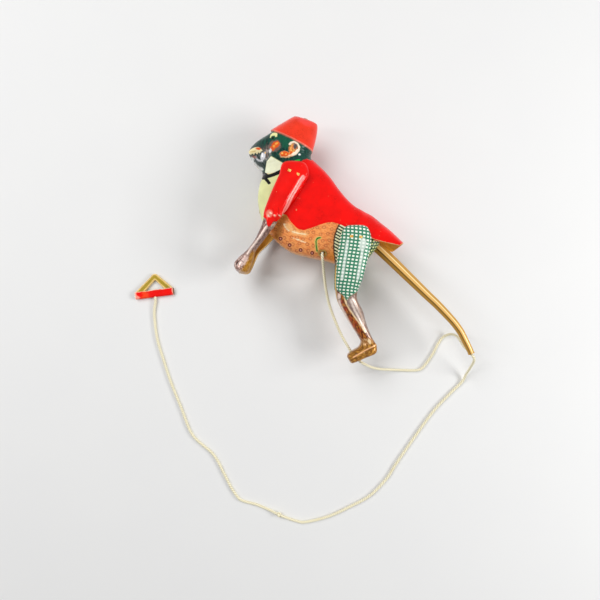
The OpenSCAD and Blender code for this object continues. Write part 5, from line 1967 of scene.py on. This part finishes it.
@dataclass
class Handle:
    """The finger triangle and the folded red bar that its base is held in."""

    at: Point = (-108.5, -36.7, 1.4)
    turned: float = 7.6
    bar_length: float = 28.5
    bar_height: float = 5.4
    bar_thick: float = 2.8
    strip: float = 4.0
    flat_half: float = 0.38
    roll_half: float = 0.8
    leaf: float = 0.36
    stop_half: float = 1.9
    stop_straight: float = 1.3
    stop_round: float = 0.62
    stop_radius: float = 0.87
    stop_below: float = -1.3
    stop_rings: int = 40
    stop_groove: float = 0.18
    stop_pitch: float = 4.0
    outer: tuple[tuple[float, float], ...] = (
        (-13.85, 3.0), (-13.85, -0.1), (13.85, -0.1), (13.85, 3.0), (4.6, 12.9), (3.2, 14.3),
        (1.7, 14.8), (0.1, 14.2), (-1.5, 12.6))
    inner: tuple[tuple[float, float], ...] = (
        (-6.5, 2.9), (-6.3, 2.8), (7.2, 2.8), (7.4, 2.9), (2.3, 9.4), (1.9, 9.8),
        (1.5, 9.9), (1.1, 9.7), (0.8, 9.3))

    def place(self, skin: Skin) -> Skin:
        """Sets a form in the handle's own place."""
        return skin.placed(about("Z", self.turned), np.array(self.at) - HIP)

    def loops(self, step: float = 0.3) -> tuple[Array, Array]:
        """Both outlines of the triangle, with rounded corners.

        A mean over neighbouring points rounds them: over 7 points for the outer outline and over 15 for
        the inner one, whose points are partners of the outer ones.

        Args:
            step: Distance between the outer points.

        Returns:
            The outer and the inner outline.
        """
        outer, inner = np.array(self.outer), np.array(self.inner)
        ends = np.roll(outer, -1, axis=0)
        counts = np.maximum(np.round(np.linalg.norm(ends - outer, axis=1) / step).astype(int), 2)
        part = np.repeat(np.arange(len(outer)), counts)
        share = (np.arange(counts.sum()) - np.repeat(np.cumsum(counts) - counts, counts)) / counts[part]
        both = [c[part] + (np.roll(c, -1, axis=0)[part] - c[part]) * share[:, None] for c in (outer, inner)]
        for k, width in enumerate((3, 7)):
            both[k] = np.mean([np.roll(both[k], s, axis=0) for s in range(-width, width + 1)], axis=0)
        return both[0], both[1]

    def triangle(self) -> Piece:
        """Builds the triangle: rolled edges round a flat middle.

        At distance d from the nearer edge the half height falls by a smooth step from the roll's to the
        flat's for d from 0.7 to 1.3, times the quarter circle sqrt(1 - (1 - d / 0.6)^2) near the edge.

        Returns:
            The triangle.
        """
        outer, inner = self.loops()
        t = (1 - np.cos(np.pi * np.linspace(0, 1, 29))) / 2
        d = self.strip * np.minimum(t, 1 - t)
        rise = self.roll_half - (self.roll_half - self.flat_half) * ease(d, 0.7, 1.3)
        rise = rise * np.sqrt(np.clip(1 - (1 - d / 0.6).clip(0, 1) ** 2, 0, 1))
        shares, heights = np.concatenate([t, t[-2:0:-1]]), np.concatenate([rise, -rise[-2:0:-1]])
        depth = np.concatenate([d, d[-2:0:-1]])
        flat = outer[:, None] + (inner - outer)[:, None] * shares[None, :, None]
        wave = 0.05 * np.sin(0.9 * flat[..., 0] + 0.4) * np.sin(0.7 * flat[..., 1])
        grid = np.concatenate([flat, (heights[None, :] + wave)[..., None]], axis=-1)
        # Painted highlight and painted shade: the pale ground stands for the light on the rolled edges, and a
        # darker gold covers the sunk flat middle.
        recess = np.broadcast_to(depth - 1.05, flat.shape[:2]).ravel()
        marks = {"recess": recess, "edge": np.full(len(recess), WELL_IN)}
        sunk_shade = Layer("recess", [], (170, 144, 44), 0.35, 1.0, 0.35)
        paint = PrintedTin("handle_gold", (240, 206, 132), (sunk_shade,), 0.4, (244, 226, 176), 0.26)
        piece = self.place(closed_both_ways(grid, marks)).build("finger_triangle", [paint.material()], 60)
        return dress(piece, "body", "gold_lacquer", "handle_frame")

    def bar(self) -> Piece:
        """Builds the bar: a strip folded lengthwise, with dents and a slightly wavy mouth.

        Over the width, w runs from 0 at one mouth to 1 at the other: each leaf takes the same share of
        it, and the half turn of the fold the rest.

        Returns:
            The bar.
        """
        x = np.linspace(self.bar_length / 2, -self.bar_length / 2, 161)[:, None]
        r, low, high = self.bar_thick / 2, self.bar_thick / 2 - self.bar_height / 2, self.bar_height / 2
        w = np.linspace(0, 1, 81)
        bend = np.clip((w - self.leaf) / (1 - 2 * self.leaf), 0, 1) * np.pi
        straight = np.clip(1 - np.minimum(w, 1 - w) / self.leaf, 0, 1)
        corner = 0.25 * (1 - ease(self.bar_length / 2 - np.abs(x), 0, 0.7))
        wavy = 0.1 * np.sin(0.52 * x + 1.1) + 0.05 * np.sin(1.3 * x)
        y = low + straight[None, :] * (high - low - corner + np.where(w < 0.5, 1, -0.6)[None, :] * wavy)
        fold_y, fold_z = -np.sin(bend)[None, :], np.cos(bend)[None, :]
        dent = 0.05 * np.sin(0.5 * x + 0.6) * np.sin(0.9 * y) + 0.02 * np.sin(1.6 * x + y)
        dent = dent - 0.1 * np.exp(-((x + 5.2) ** 2 + (y - 0.4) ** 2) / 5) * (w < 0.5)
        ends = 0.05 * (1 - ease(self.bar_length / 2 - np.abs(x), 0, 0.5))

        def face(radius: float) -> Array:
            """The strip's face at a radius round the fold."""
            reach = radius + dent - ends
            return np.stack([x + 0 * y, y + fold_y * reach, fold_z * reach], axis=-1)

        outer, inner = face(r), face(r - SHEET)
        along, across = run_lengths(outer, 0), run_lengths(outer, 1)
        # Pale pink at the ends: worn paint at both ends, and a painted highlight at the left end.
        left = 1.2 + 1.2 * np.clip(0.4 - y, 0, 3) - (self.bar_length / 2 + x)
        worn = np.maximum(left, 0.7 - (self.bar_length / 2 - x) + 0 * y)
        faded = 6.5 - np.abs(x + 6.5) + 0.8 * np.clip(-y, 0, 3) - 4.6
        marks = {"edge": from_rims(across, along).ravel(), "worn_end": worn.ravel(), "faded": faded.ravel()}
        layers = (Layer("faded", [], (250, 84, 36), 1.6, 0.6, waver=1.2),
                  Layer("worn_end", [], (252, 160, 140), 0.6, 0.85, 0.1, waver=0.9))
        paint = PrintedTin("bar_red", (240, 10, 2), layers, 0.05, (246, 196, 170), 0.2)
        inner_gold = GoldLacquer("bar_inside", (190, 146, 70), (120, 84, 34)).material()
        skin = pressed_sheet(outer, inner, marks, grid_chart(across, along), 4)
        piece = self.place(skin).build("folded_bar", [paint.material(), inner_gold], 38)
        return dress(piece, "body", "red_lacquer", "handle_bar")

    def stop(self, cord: PullCord) -> Piece:
        """Builds the cord's end across the fold: a short length of the cord.

        Over its rounded ends the radius falls by sqrt(1 - s^2), with s from 0 to 1 along them.

        Args:
            cord: The cord, for its material and its strands.

        Returns:
            The piece.
        """
        x = np.linspace(-self.stop_half, self.stop_half, self.stop_rings)
        s = np.clip((np.abs(x) - self.stop_straight) / self.stop_round, 0, 1)
        radii = self.stop_radius * np.sqrt(np.clip(1 - s**2, 0.02, 1))
        line = np.column_stack([x, np.full_like(x, self.stop_below), np.zeros_like(x)])
        skin = tube(line, radii, cord.around, lobes=cord.strands, depth=self.stop_groove,
                    pitch=self.stop_pitch)
        piece = self.place(skin).build("cord_stop", [cord.material], 70)
        return dress(piece, "body", "cotton_cord", "cord_end_knot")

    def build(self, cord: PullCord) -> list[Piece]:
        """Builds triangle, bar and the cord's end in its fold."""
        return [self.triangle(), self.bar(), self.stop(cord)]


@dataclass(frozen=True)
class Lamp:
    """A soft lamp that points at the toy; mirrored says whether glossy surfaces show it."""

    name: str
    at: Point
    size: tuple[float, float]
    power: float
    mirrored: bool = True

    def hang(self, aim: Vector) -> None:
        """Makes the lamp and turns it.

        Args:
            aim: The place in metres that it points at.
        """
        data = bpy.data.lights.new(self.name, "AREA")
        data.shape = "RECTANGLE"
        data.size, data.size_y = self.size
        data.energy = self.power
        lamp = put(self.name, data)
        lamp.location = Vector(self.at)
        lamp.rotation_euler = (aim - Vector(self.at)).to_track_quat("-Z", "Y").to_euler()
        lamp.visible_glossy = self.mirrored


@dataclass
class Studio:
    """A pale floor, soft lamps and a camera that looks straight down."""

    lens: float = 27.2
    shift: tuple[float, float] = (-16 / 600, 18 / 600)
    floor_grey: float = 0.78
    sky: float = 0.4
    seen_sky: float = 0.88
    lamps: tuple[Lamp, ...] = (Lamp("key_softbox", (-0.5, 0.55, 0.95), (0.8, 0.8), 8.0, False),
                               Lamp("right_softbox", (0.8, -0.1, 0.46), (0.5, 0.26), 5.2),
                               Lamp("left_strip", (-0.84, 0.0, 0.78), (0.16, 0.5), 2.2))

    def camera(self) -> None:
        """Sets the camera straight over its foot."""
        data = bpy.data.cameras.new("overhead_camera")
        data.sensor_width = 36.0
        data.lens = self.lens
        data.shift_x, data.shift_y = self.shift
        data.clip_start, data.clip_end = 0.01, 20.0
        camera = put(data.name, data)
        camera.location = CAMERA_AT * METRES
        bpy.context.scene.camera = camera

    def floor(self) -> None:
        """Lays a large pale floor at the height of the table."""
        mesh = bpy.data.meshes.new("pale_floor")
        mesh.from_pydata([(-4, -4, 0), (4, -4, 0), (4, 4, 0), (-4, 4, 0)], [], [(0, 1, 2, 3)])
        paint = Paint("floor_paper")
        grain = paint.noise(60.0, 3.0)
        grey = self.floor_grey
        colour = paint.blend(grain, (grey, grey, grey, 1), (grey * 1.03, grey * 1.03, grey * 1.02, 1))
        mesh.materials.append(paint.finish(Base_Color=colour, Roughness=0.85, Specular_IOR_Level=0.2))
        put(mesh.name, mesh)

    def light(self) -> None:
        """Sets the lamps, and a sky that only camera, glossy and transmission rays see bright."""
        world = bpy.data.worlds.new("studio_sky")
        bpy.context.scene.world = world
        paint = Paint(world.name, world)
        rays = paint.node("ShaderNodeLightPath")
        seen = Sock(paint, rays.outputs["Is Camera Ray"])
        for name in ("Is Glossy Ray", "Is Transmission Ray"):
            seen = seen.most(Sock(paint, rays.outputs[name]))
        level = paint.out("ShaderNodeMapRange", 0,
                          {"Value": seen, "To Min": self.sky, "To Max": self.seen_sky})
        shader = paint.out("ShaderNodeBackground", 0, {"Strength": level})
        paint.node("ShaderNodeOutputWorld", {"Surface": shader})
        for lamp in self.lamps:
            lamp.hang(Vector((0.0, -0.05, 0.0)))

    def build(self) -> None:
        """Clears what a new file holds and sets the studio up."""
        for name in ("Cube", "Light", "Camera"):
            if name in bpy.data.objects:
                bpy.data.objects.remove(bpy.data.objects[name])
        self.camera()
        self.floor()
        self.light()
        bpy.context.scene.view_settings.view_transform = "Standard"


def main() -> None:
    """Builds the toy piece by piece."""
    logging.basicConfig(level=logging.INFO, format="%(name)s: %(message)s")
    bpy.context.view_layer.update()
    Studio().build()
    cord = PullCord()
    made = cord.build()
    made += BodyShells().build()
    made.append(SeamTabs().build())
    made += Limbs(columns=109, table=tuple(LEG), layers=LEG_LAYERS).build()
    made += Limbs(columns=101, place=SHOULDER, name="arm", body="arms", table=tuple(ARM), sections_fine=16,
                  ground=(112, 62, 52), layers=ARM_LAYERS, relief=arm_relief).build()
    made.append(Tail().build())
    made.append(Eyelet().build())
    made += Mechanism().build()
    made += Handle().build(cord)
    for piece in made:
        LOG.info("%s: %d points", piece.name, len(piece.data.vertices))


if __name__ == "__main__":
    main()
